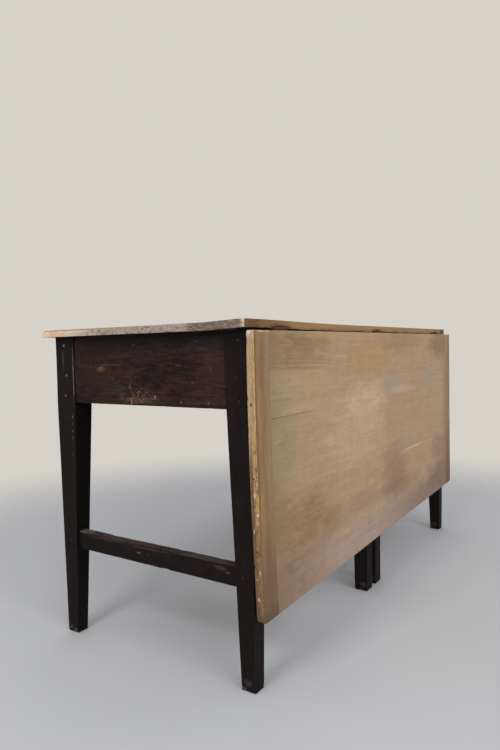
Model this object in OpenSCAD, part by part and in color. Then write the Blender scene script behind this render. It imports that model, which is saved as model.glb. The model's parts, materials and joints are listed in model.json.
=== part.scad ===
// Drop leaf table: four tapered corner legs, a fixed top, one hanging leaf on
// three back-flap hinges, and two swing legs on wooden knuckle joints.
// The origin is on the floor under the middle of the table's box. X runs along
// the length, the leaf hangs on the -Y side, and Z is up. Sizes in millimetres.

/* [Top and leaf] */
// Height of the tabletop above the floor
table_height = 760; // [720:1:800]
// Length of the top and of the leaf
table_length = 1370; // [1250:1:1600]
// Depth of the fixed top, from the leaf joint to the back edge
top_depth = 606; // [560:1:700]
// Thickness of the top and leaf boards
board_thick = 18; // [17:0.5:24]
// Gap between the top and the leaf at the joint
leaf_gap = 3; // [2:0.1:4]
// Width of the leaf at its left end, from the joint to its free edge
leaf_width = 584; // [500:1:605]
// How much narrower the leaf is at its right end, being out of square
leaf_skew = 24; // [0:1:40]
// Width of the leaf's board next to the joint
leaf_first_board_w = 180; // [120:1:220]
// Radius of the leaf's two free corners
leaf_corner_r = 12; // [5:1:40]
// Width of the full-length strip along the back of the top
back_strip_w = 66; // [40:1:90]
// Width of the cleats across the board ends
cleat_w = 58; // [48:1:80]
// Thickness of the tongue in the cleats' grooves
tongue_thick = 6; // [5:0.5:8]
// Length of that tongue
tongue_len = 14; // [8:1:24]

/* [Frame] */
// Overhang of the top past the legs at each end
end_overhang = 16; // [5:1:60]
// Overhang of the top past the back legs
back_overhang = 29; // [5:1:60]
// Distance of the front legs behind the top's joint edge
front_set = 1; // [0.5:0.1:4]
// Width of a corner leg along the length, at the top
leg_w = 55; // [46:1:66]
// Depth of a front leg, at the top
leg_d = 60; // [60:1:70]
// Depth of a back leg, at the top
back_leg_d = 64; // [60:1:74]
// Width of a corner leg's foot
foot_w = 32; // [28:1:42]
// Depth of a corner leg's foot
foot_d = 35; // [30:1:44]
// Taper on a leg's two outer faces
outer_taper = 7; // [0:0.5:9]
// Taper on the back face of a back leg
back_taper = 4.5; // [0:0.5:9]
// Worn bevel around each foot
foot_bevel = 4; // [1:0.5:7]
// Height of the aprons and rails
apron_h = 161; // [120:1:190]
// Thickness of the end and back aprons
apron_thick = 22; // [18:0.5:26]
// Distance of the aprons behind the legs' outer faces
apron_inset = 2; // [0:0.5:6]
// Height of the end stretchers' lower edge above the floor
stretcher_z = 215; // [120:1:300]
// Height of an end stretcher
stretcher_h = 44; // [34:1:70]
// Thickness of an end stretcher
stretcher_thick = 24; // [18:0.5:25]
// Distance of the stretchers behind the legs' end faces
stretcher_inset = 10; // [7:0.5:12]

/* [Swing legs] */
// Where the two swing legs meet, from mid-length
meet_x = -8; // [-30:1:30]
// Gap between the closed swing legs at the top
meet_gap = 3; // [1:0.5:8]
// Distance of the fly rails behind the front legs' faces
fly_set = 15; // [12:0.5:16]
// Thickness of the fly rails
fly_thick = 22; // [18:0.5:22]
// Distance from a knuckle pin to the middle of its swing leg
fly_radius = 400; // [300:1:430]
// Width of a swing leg along the rail, at the top
swing_w = 50; // [42:1:60]
// Depth of a swing leg under the rails
swing_d = 50; // [42:1:58]
// Distance the swing leg stands proud of its fly rail
swing_proud = 6; // [3:0.5:8]
// Width of a swing leg's foot
swing_foot_w = 38; // [30:1:40]
// Depth of a swing leg's foot
swing_foot_d = 39; // [30:1:40]
// Taper on a swing leg's front face
swing_front_taper = 5; // [0:0.5:8]
// Room between a closed fly rail and the rail behind it
fly_room = 0.5; // [0.3:0.1:1]
// Room between a swing leg and the raised leaf
leaf_room = 0.8; // [0.4:0.1:2]
// Room under a swing leg's foot
floor_room = 1; // [0.5:0.1:3]
// Fingers in a wooden knuckle joint
knuckle_count = 5; // [3:2:7]
// Radius of the iron knuckle pin
knuckle_pin_r = 4; // [3:0.5:5]

/* [Joinery] */
// Thickness of the tenons
tenon_thick = 10; // [7:0.5:11]
// Length of the end aprons' tenons
end_tenon_len = 44; // [38:1:48]
// Length of the tenons on the long rails and the back apron
long_tenon_len = 24; // [18:1:26]
// Length of the stretchers' tenons
stretcher_tenon_len = 26; // [20:1:32]
// Length of the fly rails' tenons
fly_tenon_len = 34; // [22:1:38]
// Shoulder above each tenon
shoulder_top = 10; // [6:1:20]
// Shoulder below each tenon
shoulder_low = 8; // [6:1:20]
// Radius of the wooden pegs
peg_r = 3.5; // [2.5:0.25:4]
// Depth of a peg that holds one tenon
peg_depth = 24; // [20:1:24]
// Distance of the pegs from the shoulder of a long rail
peg_back = 12; // [8:0.5:14]
// Distance of the end apron's pegs from its shoulder
end_peg_back = 30; // [15:1:36]
// Height of the end apron's lowest pegs above its lower edge
peg_margin_low = 17; // [15:1:30]
// Distance of the end apron's highest pegs below its upper edge
peg_margin_top = 21; // [15:1:30]
// Height of the end apron's middle pegs above the lowest ones
middle_peg_rise = 50; // [30:1:60]
// How far the middle pegs stand in from the others' line, and they out from it
peg_stagger = 3; // [0:0.5:4]
// Distance of the pegs in the long rails from their edges
rail_peg_margin = 48; // [24:1:56]

/* [Hinges] */
// Distance of the end hinges from the ends of the table
hinge_end = 130; // [110:1:300]
// Width of a hinge
hinge_w = 56; // [46:1:75]
// Thickness of a hinge flap
flap_thick = 2; // [2:0.1:3]
// Length of the flap under the top, from the pin
top_flap_len = 36; // [34:1:48]
// Length of the flap on the leaf, from the pin
leaf_flap_len = 50; // [46:1:70]
// Outside radius of the hinge barrel
barrel_r = 4.5; // [4:0.25:5]
// Radius of the hinge pin
hinge_pin_r = 2; // [1.5:0.1:2.25]
// Knuckles in a hinge
hinge_knuckles = 5; // [3:2:7]
// Distance of the outer screws from the middle of the flap
screw_spread = 18; // [14:0.5:19]
// Distance of the outer screws from the pin
screw_reach = 19; // [15:0.5:20]
// Distance of the middle screw from the flap's free edge
screw_edge = 8; // [6:0.5:9]
// Radius of a hinge screw's head
screw_head_r = 3.4; // [3:0.1:4]
// Radius of a hinge screw's shank
screw_r = 1.75; // [1.4:0.05:2]
// Length of a hinge screw
screw_len = 13; // [10:0.5:14]

/* [Top screws and nails] */
// Radius of the screws that hold the top down
top_screw_r = 2.25; // [2:0.25:3]
// Radius of their heads
top_screw_head_r = 4.5; // [4:0.25:5.5]
// Depth of those screws in the top
top_screw_bite = 12; // [8:0.5:13]
// Wood left above a screw pocket
pocket_top = 20; // [14:1:30]
// Height of a screw pocket
pocket_h = 36; // [30:1:60]
// Width of a screw pocket
pocket_w = 16; // [13:0.5:24]
// Depth of a screw pocket in its rail
pocket_depth = 13; // [12.5:0.5:14]
// Distance of the long rails' outer screws from mid-length
long_screw_spread = 390; // [250:1:480]
// Radius of the cleat nails
nail_r = 1.75; // [1.25:0.25:2.25]
// Length of the cleat nails
nail_len = 76; // [66:1:100]
// Depth that a nail is punched below the edge
nail_sink = 1; // [0.5:0.1:2]
// Nails in each cleat
nail_count = 3; // [2:1:5]

/* [Hidden] */
$fn = 48;
// Clearance of tenons, tongues, pegs, screws and nails in wood
fit = 0.1;
// Radial clearance of a turning pin
running = 0.05;
// Clearance between hinge knuckles, and around the barrel
hinge_clear = 0.3;
// Clearance between the fingers of a wooden knuckle
finger_clear = 0.4;
// Clearance between a finger's round end and the shoulder it turns in
finger_room = 1;
// Height of a countersunk screw's head, and of a round one
screw_head_h = 1.6;
top_screw_head_h = 2.5;
// Length of a screw's or a nail's point, and the radius of its tip
point_len = 4;
point_r = 0.3;
// Room between a top screw's head and the back of its pocket
screw_head_room = 0.5;
// Wood left behind a blind peg in a swing leg
peg_stop = 1;
// A cut runs this far past the face it opens
past = 1;

// The two ends, and the places of the three hinges along the joint
left = -1;
right = 1;
end_x = table_length / 2;
hinge_places = [-end_x + hinge_end, 0, end_x - hinge_end];

// Heights
under_z = table_height - board_thick;
apron_z = under_z - apron_h;
tongue_z = under_z + (board_thick - tongue_thick) / 2;

// Heights of the two pegs through a long rail's or a fly rail's tenon
rail_peg_places = [apron_z + rail_peg_margin, under_z - rail_peg_margin];

// Places of an end apron's three pegs: how far out from their line, and height
low_peg_z = apron_z + peg_margin_low;
end_peg_places = [
    [peg_stagger, low_peg_z],
    [-peg_stagger, low_peg_z + middle_peg_rise],
    [peg_stagger, under_z - peg_margin_top]
];

// Lines along the depth: the box is centred on the top and the hanging leaf
joint_y = (board_thick + leaf_gap / 2 - top_depth) / 2;
back_y = joint_y + top_depth;
hinge_y = joint_y - leaf_gap / 2;
leaf_out_y = hinge_y - board_thick;
leaf_top_z = under_z - leaf_gap / 2;
leaf_low_z = leaf_top_z - leaf_width;
strip_y = back_y - back_strip_w;
top_board_w = (strip_y - joint_y) / 3;

// Place along the depth of nail number i in a top cleat
function cleat_nail_y(i) = joint_y + (strip_y - joint_y) * i / (nail_count + 1);

leaf_board_w = (leaf_width - leaf_first_board_w) / 2;

// Angle of the leaf's free edge, and the middle of the rounding at each end
leaf_slope = atan(leaf_skew / table_length);
function corner_z(end) = leaf_low_z + (end_x + end * (end_x - leaf_corner_r)) * tan(leaf_slope)
    + leaf_corner_r / cos(leaf_slope);

// Legs and rails
leg_line = end_x - end_overhang;
front_line = joint_y + front_set;
back_line = back_y - back_overhang;
front_in = front_line + leg_d;
back_in = back_line - back_leg_d;
inner_x = leg_line - leg_w;
fixed_rail_thick = fly_thick + fly_room;
inner_rail_set = fly_set + fixed_rail_thick;
inner_rail_thick = leg_d - inner_rail_set - fly_room;
inner_rail_y = front_line + inner_rail_set;

// Swing legs: the pins, and the reach of a gate from its pin
knuckle_r = fly_thick / 2;
pin_y = front_line + fly_set + knuckle_r;
gate_reach = fly_radius + swing_w / 2 + meet_gap / 2;
shoulder_x = knuckle_r + finger_room;
fly_top_z = under_z - leaf_room;
swing_top_z = under_z - barrel_r - leaf_room;
finger_pitch = apron_h / knuckle_count;
swing_front = -knuckle_r - swing_proud;

// Hinge knuckles
hinge_pitch = hinge_w / hinge_knuckles;

// ---------------------------------------------------------------- helpers

// A block between two opposite corners
module block(low, high) {
    translate(low) cube(high - low);
}

// How far a grown shape, which cuts a hole, runs out of the face it opens
function mouth(grow) = grow > 0 ? past : 0;

// Places a child drawn in a leg's own frame at one of the four corners. There
// the origin is the leg's outer corner on the floor, and +x and +y run inwards.
module at_corner(end, back = false) {
    translate([end * leg_line, back ? back_line : front_line, 0])
        mirrored_x(end == right)
            mirrored_y(back)
                children();
}

module mirrored_x(on) {
    if (on) mirror([1, 0, 0]) children();
    else children();
}

module mirrored_y(on) {
    if (on) mirror([0, 1, 0]) children();
    else children();
}

// Places a child drawn in a gate's own frame: the pin is at x = 0 and y = 0,
// and +x runs along the fly rail to the swing leg
module at_gate(end) {
    translate([meet_x + end * gate_reach, pin_y, 0])
        mirrored_x(end == right)
            children();
}

// Turns a child that is drawn along +z so that it runs along +x or +y
module along_x() { rotate([0, 90, 0]) children(); }
module along_y() { rotate([-90, 0, 0]) children(); }

// ---------------------------------------------------------------- corner legs

// Outline of a leg's side: straight beside the aprons, tapered to the foot
module leg_side(top_w, low_w, taper) {
    polygon([
        [0, under_z], [0, apron_z], [taper, foot_bevel], [taper + foot_bevel, 0],
        [taper + low_w - foot_bevel, 0], [taper + low_w, foot_bevel],
        [top_w, apron_z], [top_w, under_z]
    ]);
}

// Depth of the legs at the front and at the back, the taper on their front or
// back face, and the line of their feet's inner face
function leg_depth(back) = back ? back_leg_d : leg_d;
function leg_taper(back) = back ? back_taper : outer_taper;
function foot_in(back) = leg_taper(back) + foot_d;

module leg_blank(back = false) {
    depth = leg_depth(back);
    intersection() {
        translate([0, depth, 0])
            rotate([90, 0, 0])
                linear_extrude(depth) leg_side(leg_w, foot_w, outer_taper);
        rotate([90, 0, 90])
            linear_extrude(leg_w) leg_side(depth, foot_d, leg_taper(back));
    }
}

// Tenons and pegs, each drawn in a leg's frame; grow makes the mortise or hole
module end_tenon(grow = 0, back = false) {
    x = apron_inset + (apron_thick - tenon_thick) / 2;
    depth = leg_depth(back);
    block([x - grow, depth - end_tenon_len - grow, apron_z + shoulder_low - grow],
          [x + tenon_thick + grow, depth + past, under_z - shoulder_top + grow]);
}

module long_tenon(face_y, thick, grow = 0) {
    y = face_y + (thick - tenon_thick) / 2;
    block([leg_w - long_tenon_len - grow, y - grow, apron_z + shoulder_low - grow],
          [leg_w + past, y + tenon_thick + grow, under_z - shoulder_top + grow]);
}

module back_tenon(grow = 0) { long_tenon(apron_inset, apron_thick, grow); }
module inner_tenon(grow = 0) { long_tenon(inner_rail_set, inner_rail_thick, grow); }
module outer_tenon(grow = 0) { long_tenon(fly_set, fly_thick, grow); }

module stretcher_tenon(grow = 0, back = false) {
    x = stretcher_inset + (stretcher_thick - tenon_thick) / 2;
    y = foot_in(back);
    block([x - grow, y - stretcher_tenon_len - grow, stretcher_z + shoulder_low - grow],
          [x + tenon_thick + grow, leg_depth(back),
           stretcher_z + stretcher_h - shoulder_low + grow]);
}

module peg(length, grow = 0) {
    translate([0, 0, -mouth(grow)]) cylinder(h = length + mouth(grow), r = peg_r + grow);
}

module end_pegs(grow = 0, back = false) {
    for (place = end_peg_places)
        translate([0, leg_depth(back) - end_peg_back - place[0], place[1]])
            along_x() peg(peg_depth, grow);
}

module long_pegs(length, grow = 0) {
    for (z = rail_peg_places)
        translate([leg_w - peg_back, 0, z]) along_y() peg(length, grow);
}

module stretcher_peg(grow = 0, back = false) {
    translate([0, foot_in(back) - peg_back, stretcher_z + stretcher_h / 2])
        along_x() peg(stretcher_inset + stretcher_thick, grow);
}

// The front pegs run through the outer rail's tenon into the inner rail's
front_peg_len = inner_rail_set + (inner_rail_thick + tenon_thick) / 2;

module front_leg(end) {
    color("#2a2422")
        at_corner(end)
            difference() {
                leg_blank();
                end_tenon(fit);
                inner_tenon(fit);
                outer_tenon(fit);
                stretcher_tenon(fit);
                end_pegs(fit);
                long_pegs(front_peg_len, fit);
                stretcher_peg(fit);
            }
}

module back_leg(end) {
    color("#2a2422")
        at_corner(end, back = true)
            difference() {
                leg_blank(back = true);
                end_tenon(fit, back = true);
                back_tenon(fit);
                stretcher_tenon(fit, back = true);
                end_pegs(fit, back = true);
                long_pegs(peg_depth, fit);
                stretcher_peg(fit, back = true);
            }
}

module leg_front_left() { front_leg(left); }
module leg_front_right() { front_leg(right); }
module leg_back_left() { back_leg(left); }
module leg_back_right() { back_leg(right); }

module end_apron_pegs() {
    color("#8c8078")
        for (end = [left, right], back = [false, true])
            at_corner(end, back) end_pegs(back = back);
}

module back_apron_pegs() {
    color("#2a2422")
        for (end = [left, right])
            at_corner(end, back = true) long_pegs(peg_depth);
}

module front_rail_pegs() {
    color("#2a2422")
        for (end = [left, right])
            at_corner(end) long_pegs(front_peg_len);
}

// These end flush with the tapered faces of the legs
module stretcher_pegs() {
    color("#2a2422")
        for (end = [left, right], back = [false, true])
            at_corner(end, back)
                intersection() {
                    stretcher_peg(back = back);
                    leg_blank(back);
                }
}

// ---------------------------------------------------------------- aprons and rails

// A screw that holds the top, standing at the origin with its head's seat at
// the pocket's roof; grow makes its hole
module top_screw(grow = 0) {
    reach = pocket_top + top_screw_bite;
    seat_z = under_z - pocket_top;
    translate([0, 0, seat_z - top_screw_head_h])
        cylinder(h = top_screw_head_h, r = top_screw_head_r + grow);
    translate([0, 0, seat_z]) cylinder(h = reach - point_len, r = top_screw_r + grow);
    translate([0, 0, seat_z + reach - point_len])
        cylinder(h = point_len + grow, r1 = top_screw_r + grow, r2 = point_r + grow);
}

// The pocket in a rail's inner face that the screw is driven from. The face is
// at y = 0 and the rail's wood at negative y.
screw_back = pocket_depth - top_screw_head_r - screw_head_room;

module screw_pocket() {
    roof = under_z - pocket_top;
    block([-pocket_w / 2, -pocket_depth, roof - pocket_h], [pocket_w / 2, past, roof]);
    translate([0, -screw_back, roof - past]) cylinder(h = pocket_top + 2 * past, r = top_screw_r + fit);
}

// Places a child at each screw, turned so that its -y points into the rail.
// Those in an end apron stand midway between the nails in the cleat above.
module at_end_screws(end) {
    for (i = [1:nail_count - 1])
        translate([end * (leg_line - apron_inset - apron_thick), cleat_nail_y(i + 0.5), 0])
            rotate([0, 0, end == left ? -90 : 90]) children();
}

module at_back_screws() {
    for (x = [-1, 0, 1] * long_screw_spread)
        translate([x, back_line - apron_inset - apron_thick, 0])
            rotate([0, 0, 180]) children();
}

module at_front_screws() {
    for (x = [-1, 0, 1] * long_screw_spread)
        translate([x, inner_rail_y + inner_rail_thick, 0]) children();
}

module every_top_screw(grow = 0) {
    at_end_screws(left) translate([0, -screw_back, 0]) top_screw(grow);
    at_end_screws(right) translate([0, -screw_back, 0]) top_screw(grow);
    at_back_screws() translate([0, -screw_back, 0]) top_screw(grow);
    at_front_screws() translate([0, -screw_back, 0]) top_screw(grow);
}

module top_screws() {
    color("#3b3632") every_top_screw();
}

module end_apron(end) {
    outer = leg_line - apron_inset;
    inner = outer - apron_thick;
    color("#332722")
        difference() {
            union() {
                block([min(end * outer, end * inner), front_in, apron_z],
                      [max(end * outer, end * inner), back_in, under_z]);
                at_corner(end) end_tenon();
                at_corner(end, back = true) end_tenon(back = true);
            }
            at_corner(end) end_pegs(fit);
            at_corner(end, back = true) end_pegs(fit, back = true);
            at_end_screws(end) screw_pocket();
        }
}

module end_apron_left() { end_apron(left); }
module end_apron_right() { end_apron(right); }

module back_apron() {
    outer = back_line - apron_inset;
    color("#332722")
        difference() {
            union() {
                block([-inner_x, outer - apron_thick, apron_z], [inner_x, outer, under_z]);
                for (end = [left, right]) at_corner(end, back = true) back_tenon();
            }
            for (end = [left, right]) at_corner(end, back = true) long_pegs(peg_depth, fit);
            at_back_screws() screw_pocket();
        }
}

module inner_front_rail() {
    color("#4a3a2c")
        difference() {
            union() {
                block([-inner_x, inner_rail_y, apron_z],
                      [inner_x, inner_rail_y + inner_rail_thick, under_z]);
                for (end = [left, right]) at_corner(end) inner_tenon();
            }
            for (end = [left, right]) at_corner(end) long_pegs(front_peg_len, fit);
            at_front_screws() screw_pocket();
        }
}

// The fingers of a wooden knuckle, drawn in a gate's frame; side is the way
// from the pin to the rail that carries them
module fingers(first, side) {
    for (i = [first:2:knuckle_count - 1])
        translate([0, 0, apron_z + i * finger_pitch + finger_clear / 2]) {
            cylinder(h = finger_pitch - finger_clear, r = knuckle_r);
            translate([side > 0 ? 0 : -shoulder_x - past, -knuckle_r, 0])
                cube([shoulder_x + past, fly_thick, finger_pitch - finger_clear]);
        }
}

module knuckle_bore() {
    translate([0, 0, apron_z - past]) cylinder(h = apron_h + 2 * past, r = knuckle_pin_r + running);
}

// A fixed length of outer rail between a front leg and the knuckle
module outer_rail(end) {
    pin_x = gate_reach + end * meet_x;
    color("#2f2623")
        difference() {
            union() {
                at_gate(end) {
                    block([pin_x - inner_x, -knuckle_r, apron_z],
                          [-shoulder_x, knuckle_r + fly_room, under_z]);
                    fingers(0, -1);
                }
                at_corner(end) outer_tenon();
            }
            at_gate(end) knuckle_bore();
            at_corner(end) long_pegs(front_peg_len, fit);
        }
}

module outer_rail_left() { outer_rail(left); }
module outer_rail_right() { outer_rail(right); }

module knuckle_pin(end) {
    color("#4b4743")
        at_gate(end)
            translate([0, 0, apron_z]) cylinder(h = apron_h, r = knuckle_pin_r);
}

module knuckle_pin_left() { knuckle_pin(left); }
module knuckle_pin_right() { knuckle_pin(right); }

// ---------------------------------------------------------------- end stretchers

module end_stretcher(end) {
    outer = leg_line - stretcher_inset;
    inner = outer - stretcher_thick;
    color("#4a2f25")
        difference() {
            union() {
                difference() {
                    block([min(end * outer, end * inner), front_line + foot_in(false),
                           stretcher_z],
                          [max(end * outer, end * inner), back_line - foot_in(true),
                           stretcher_z + stretcher_h]);
                    at_corner(end) leg_blank();
                    at_corner(end, back = true) leg_blank(back = true);
                }
                at_corner(end) stretcher_tenon();
                at_corner(end, back = true) stretcher_tenon(back = true);
            }
            at_corner(end) stretcher_peg(fit);
            at_corner(end, back = true) stretcher_peg(fit, back = true);
        }
}

module end_stretcher_left() { end_stretcher(left); }
module end_stretcher_right() { end_stretcher(right); }

// ---------------------------------------------------------------- swing legs

swing_x = fly_radius - swing_w / 2;

module fly_tenon(grow = 0) {
    block([swing_x - past, -tenon_thick / 2 - grow, apron_z + shoulder_low - grow],
          [swing_x + fly_tenon_len + grow, tenon_thick / 2 + grow, fly_top_z - shoulder_top + grow]);
}

module fly_pegs(grow = 0) {
    for (z = rail_peg_places)
        translate([swing_x + peg_back, swing_front, z])
            along_y() peg(swing_proud + fly_thick - peg_stop, grow);
}

module fly_rail(end) {
    color("#2f2623")
        at_gate(end)
            difference() {
                union() {
                    block([shoulder_x, -knuckle_r, apron_z], [swing_x, knuckle_r, fly_top_z]);
                    fingers(1, 1);
                    fly_tenon();
                }
                knuckle_bore();
                fly_pegs(fit);
            }
}

module fly_rail_left() { fly_rail(left); }
module fly_rail_right() { fly_rail(right); }

// The swing leg is rebated at the back to pass in front of the inner rail, and
// its top is low enough to pass under the middle hinge's barrel. Its side next
// to the other swing leg is tapered, and the side at its rail is plumb.
module swing_leg(end) {
    low = floor_room;
    foot = low + foot_bevel;
    rebate_z = apron_z - floor_room;
    rebated_d = swing_proud + fly_thick;
    heel = swing_front_taper + swing_foot_d;
    color("#2a2422")
        at_gate(end)
            difference() {
                translate([swing_x, swing_front, 0])
                    intersection() {
                        translate([0, swing_d, 0])
                            rotate([90, 0, 0])
                                linear_extrude(swing_d)
                                    polygon([
                                        [0, swing_top_z], [0, foot], [foot_bevel, low],
                                        [swing_foot_w - foot_bevel, low], [swing_foot_w, foot],
                                        [swing_w, apron_z], [swing_w, swing_top_z]
                                    ]);
                        rotate([90, 0, 90])
                            linear_extrude(swing_w)
                                polygon([
                                    [0, swing_top_z], [0, apron_z], [swing_front_taper, foot],
                                    [swing_front_taper + foot_bevel, low],
                                    [heel - foot_bevel, low], [heel, foot],
                                    [swing_d, rebate_z], [rebated_d, rebate_z],
                                    [rebated_d, swing_top_z]
                                ]);
                    }
                fly_tenon(fit);
                fly_pegs(fit);
            }
}

module swing_leg_left() { swing_leg(left); }
module swing_leg_right() { swing_leg(right); }

module fly_rail_pegs_left() { color("#2a2422") at_gate(left) fly_pegs(); }
module fly_rail_pegs_right() { color("#2a2422") at_gate(right) fly_pegs(); }

// ---------------------------------------------------------------- hinges

// Hinges are drawn with the pin on the x axis. The top flap lies at +y, let into
// the underside of the top, and the leaf flap hangs at -z, let into the leaf.
module at_hinge(x) {
    translate([x, hinge_y, under_z]) children();
}

// Barrel lengths number first, first + 2 and so on, grown for the mate's notch
module barrel(first, grow = 0) {
    length = hinge_pitch - hinge_clear + 2 * grow;
    for (i = [first:2:hinge_knuckles - 1])
        translate([-hinge_w / 2 + (i + 0.5) * hinge_pitch - length / 2, 0, 0])
            along_x() cylinder(h = length, r = barrel_r + grow);
}

module pin_bore() {
    translate([-hinge_w / 2 - past, 0, 0])
        along_x() cylinder(h = hinge_w + 2 * past, r = hinge_pin_r + running);
}

// The wood cut away for a hinge's barrel
module barrel_notch() {
    translate([-hinge_w / 2 - hinge_clear, 0, 0])
        along_x() cylinder(h = hinge_w + 2 * hinge_clear, r = barrel_r + hinge_clear);
}

// A countersunk screw that enters the wood along +z from z = 0
module hinge_screw(grow = 0) {
    cylinder(h = screw_head_h, r1 = screw_head_r + grow, r2 = screw_r + grow);
    if (grow > 0) translate([0, 0, -past]) cylinder(h = past, r = screw_head_r + grow);
    translate([0, 0, screw_head_h])
        cylinder(h = screw_len - point_len - screw_head_h, r = screw_r + grow);
    translate([0, 0, screw_len - point_len])
        cylinder(h = point_len + grow, r1 = screw_r + grow, r2 = point_r + grow);
}

module flap_screws(flap_len, grow = 0) {
    for (place = [[-screw_spread, screw_reach], [0, flap_len - screw_edge], [screw_spread, screw_reach]])
        translate([place.x, place.y, 0]) hinge_screw(grow);
}

module top_flap(x) {
    color("#57524c")
        at_hinge(x)
            difference() {
                union() {
                    block([-hinge_w / 2, 0, 0], [hinge_w / 2, top_flap_len, flap_thick]);
                    barrel(0);
                }
                barrel(1, hinge_clear);
                pin_bore();
                flap_screws(top_flap_len, fit);
            }
}

module leaf_flap(x) {
    color("#57524c")
        at_hinge(x)
            difference() {
                union() {
                    block([-hinge_w / 2, -flap_thick, -leaf_flap_len], [hinge_w / 2, 0, 0]);
                    barrel(1);
                }
                barrel(0, hinge_clear);
                pin_bore();
                leaf_side() flap_screws(leaf_flap_len, fit);
            }
}

// Turns what is drawn for the top flap (wood at +z, reach along +y) to the leaf
// flap's place (wood at -y, reach along -z)
module leaf_side() {
    mirror([0, 1, 0]) rotate([-90, 0, 0]) children();
}

module hinge_top_flap_left() { top_flap(hinge_places[0]); }
module hinge_top_flap_middle() { top_flap(hinge_places[1]); }
module hinge_top_flap_right() { top_flap(hinge_places[2]); }
module hinge_leaf_flap_left() { leaf_flap(hinge_places[0]); }
module hinge_leaf_flap_middle() { leaf_flap(hinge_places[1]); }
module hinge_leaf_flap_right() { leaf_flap(hinge_places[2]); }

module hinge_pin(x) {
    color("#6a655e")
        at_hinge(x)
            translate([-hinge_w / 2, 0, 0]) along_x() cylinder(h = hinge_w, r = hinge_pin_r);
}

module hinge_pin_left() { hinge_pin(hinge_places[0]); }
module hinge_pin_middle() { hinge_pin(hinge_places[1]); }
module hinge_pin_right() { hinge_pin(hinge_places[2]); }

module hinge_top_screws() {
    color("#6a655e")
        for (x = hinge_places) at_hinge(x) flap_screws(top_flap_len);
}

module hinge_leaf_screws() {
    color("#6a655e")
        for (x = hinge_places) at_hinge(x) leaf_side() flap_screws(leaf_flap_len);
}

// What the hinges cut out of the top, and out of the leaf
module top_hinge_cuts() {
    for (x = hinge_places)
        at_hinge(x) {
            barrel_notch();
            block([-hinge_w / 2 - fit, 0, -past], [hinge_w / 2 + fit, top_flap_len + fit, flap_thick]);
            flap_screws(top_flap_len, fit);
        }
}

module leaf_hinge_cuts() {
    for (x = hinge_places)
        at_hinge(x) {
            barrel_notch();
            block([-hinge_w / 2 - fit, -flap_thick, -leaf_flap_len - fit], [hinge_w / 2 + fit, past, 0]);
            leaf_side() flap_screws(leaf_flap_len, fit);
        }
}

// ---------------------------------------------------------------- top

board_end = end_x - cleat_w;

// A board with a tongue on each end, between y0 and y1
module top_board(y0, y1) {
    block([-board_end, y0, under_z], [board_end, y1, table_height]);
    block([-board_end - tongue_len, y0, tongue_z], [board_end + tongue_len, y1, tongue_z + tongue_thick]);
}

// Nails through a cleat's edge into its boards, for a run from 0 to length
// along +y; the edge is at x = 0 and the boards lie at +x
module cleat_nails(length, grow = 0) {
    start = grow > 0 ? -past : nail_sink;
    shank = nail_sink + nail_len - point_len;
    for (i = [1:nail_count])
        translate([0, length * i / (nail_count + 1), 0])
            along_x() {
                translate([0, 0, start]) cylinder(h = shank - start, r = nail_r + grow);
                translate([0, 0, shank])
                    cylinder(h = point_len + grow, r1 = nail_r + grow, r2 = point_r + grow);
            }
}

module at_top_nails(end) {
    translate([end * end_x, joint_y, tongue_z + tongue_thick / 2])
        mirrored_x(end == right) children();
}

module top_nail_cuts() {
    for (end = [left, right]) at_top_nails(end) cleat_nails(strip_y - joint_y, fit);
}

module top_board_front() {
    color("#a08c6c")
        difference() {
            top_board(joint_y, joint_y + top_board_w);
            top_hinge_cuts();
            top_nail_cuts();
            every_top_screw(fit);
        }
}

module top_board_middle() {
    color("#a39070")
        difference() {
            top_board(joint_y + top_board_w, joint_y + 2 * top_board_w);
            top_nail_cuts();
        }
}

module top_board_rear() {
    color("#9f8b6a")
        difference() {
            top_board(joint_y + 2 * top_board_w, strip_y);
            top_nail_cuts();
        }
}

module top_back_strip() {
    color("#b09a80")
        difference() {
            block([-end_x, strip_y, under_z], [end_x, back_y, table_height]);
            every_top_screw(fit);
        }
}

module top_cleat(end) {
    color("#8f8072")
        difference() {
            block([end == left ? -end_x : board_end, joint_y, under_z],
                  [end == left ? -board_end : end_x, strip_y, table_height]);
            block([-board_end - tongue_len - fit, joint_y - past, tongue_z - fit],
                  [board_end + tongue_len + fit, strip_y + past, tongue_z + tongue_thick + fit]);
            top_nail_cuts();
            every_top_screw(fit);
        }
}

module top_cleat_left() { top_cleat(left); }
module top_cleat_right() { top_cleat(right); }

module top_cleat_nails() {
    color("#3b3632")
        for (end = [left, right]) at_top_nails(end) cleat_nails(strip_y - joint_y);
}

// ---------------------------------------------------------------- leaf

leaf_tongue_y = leaf_out_y + (board_thick - tongue_thick) / 2;

// A board of the leaf between heights z0 and z1, with a tongue on each end
module leaf_board(z0, z1) {
    block([-board_end, leaf_out_y, z0], [board_end, hinge_y, z1]);
    block([-board_end - tongue_len, leaf_tongue_y, z0],
          [board_end + tongue_len, leaf_tongue_y + tongue_thick, z1]);
}

module at_leaf_nails(end) {
    translate([end * end_x, leaf_tongue_y + tongue_thick / 2, leaf_top_z])
        mirrored_x(end == right) rotate([-90, 0, 0]) children();
}

module leaf_nail_cuts() {
    for (end = [left, right]) at_leaf_nails(end) cleat_nails(leaf_width, fit);
}

leaf_seam_1 = leaf_top_z - leaf_first_board_w;
leaf_seam_2 = leaf_seam_1 - leaf_board_w;

module leaf_board_upper() {
    color("#a8916b")
        difference() {
            leaf_board(leaf_seam_1, leaf_top_z);
            leaf_hinge_cuts();
            leaf_nail_cuts();
        }
}

module leaf_board_middle() {
    color("#a58e68")
        difference() {
            leaf_board(leaf_seam_2, leaf_seam_1);
            leaf_nail_cuts();
        }
}

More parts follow.
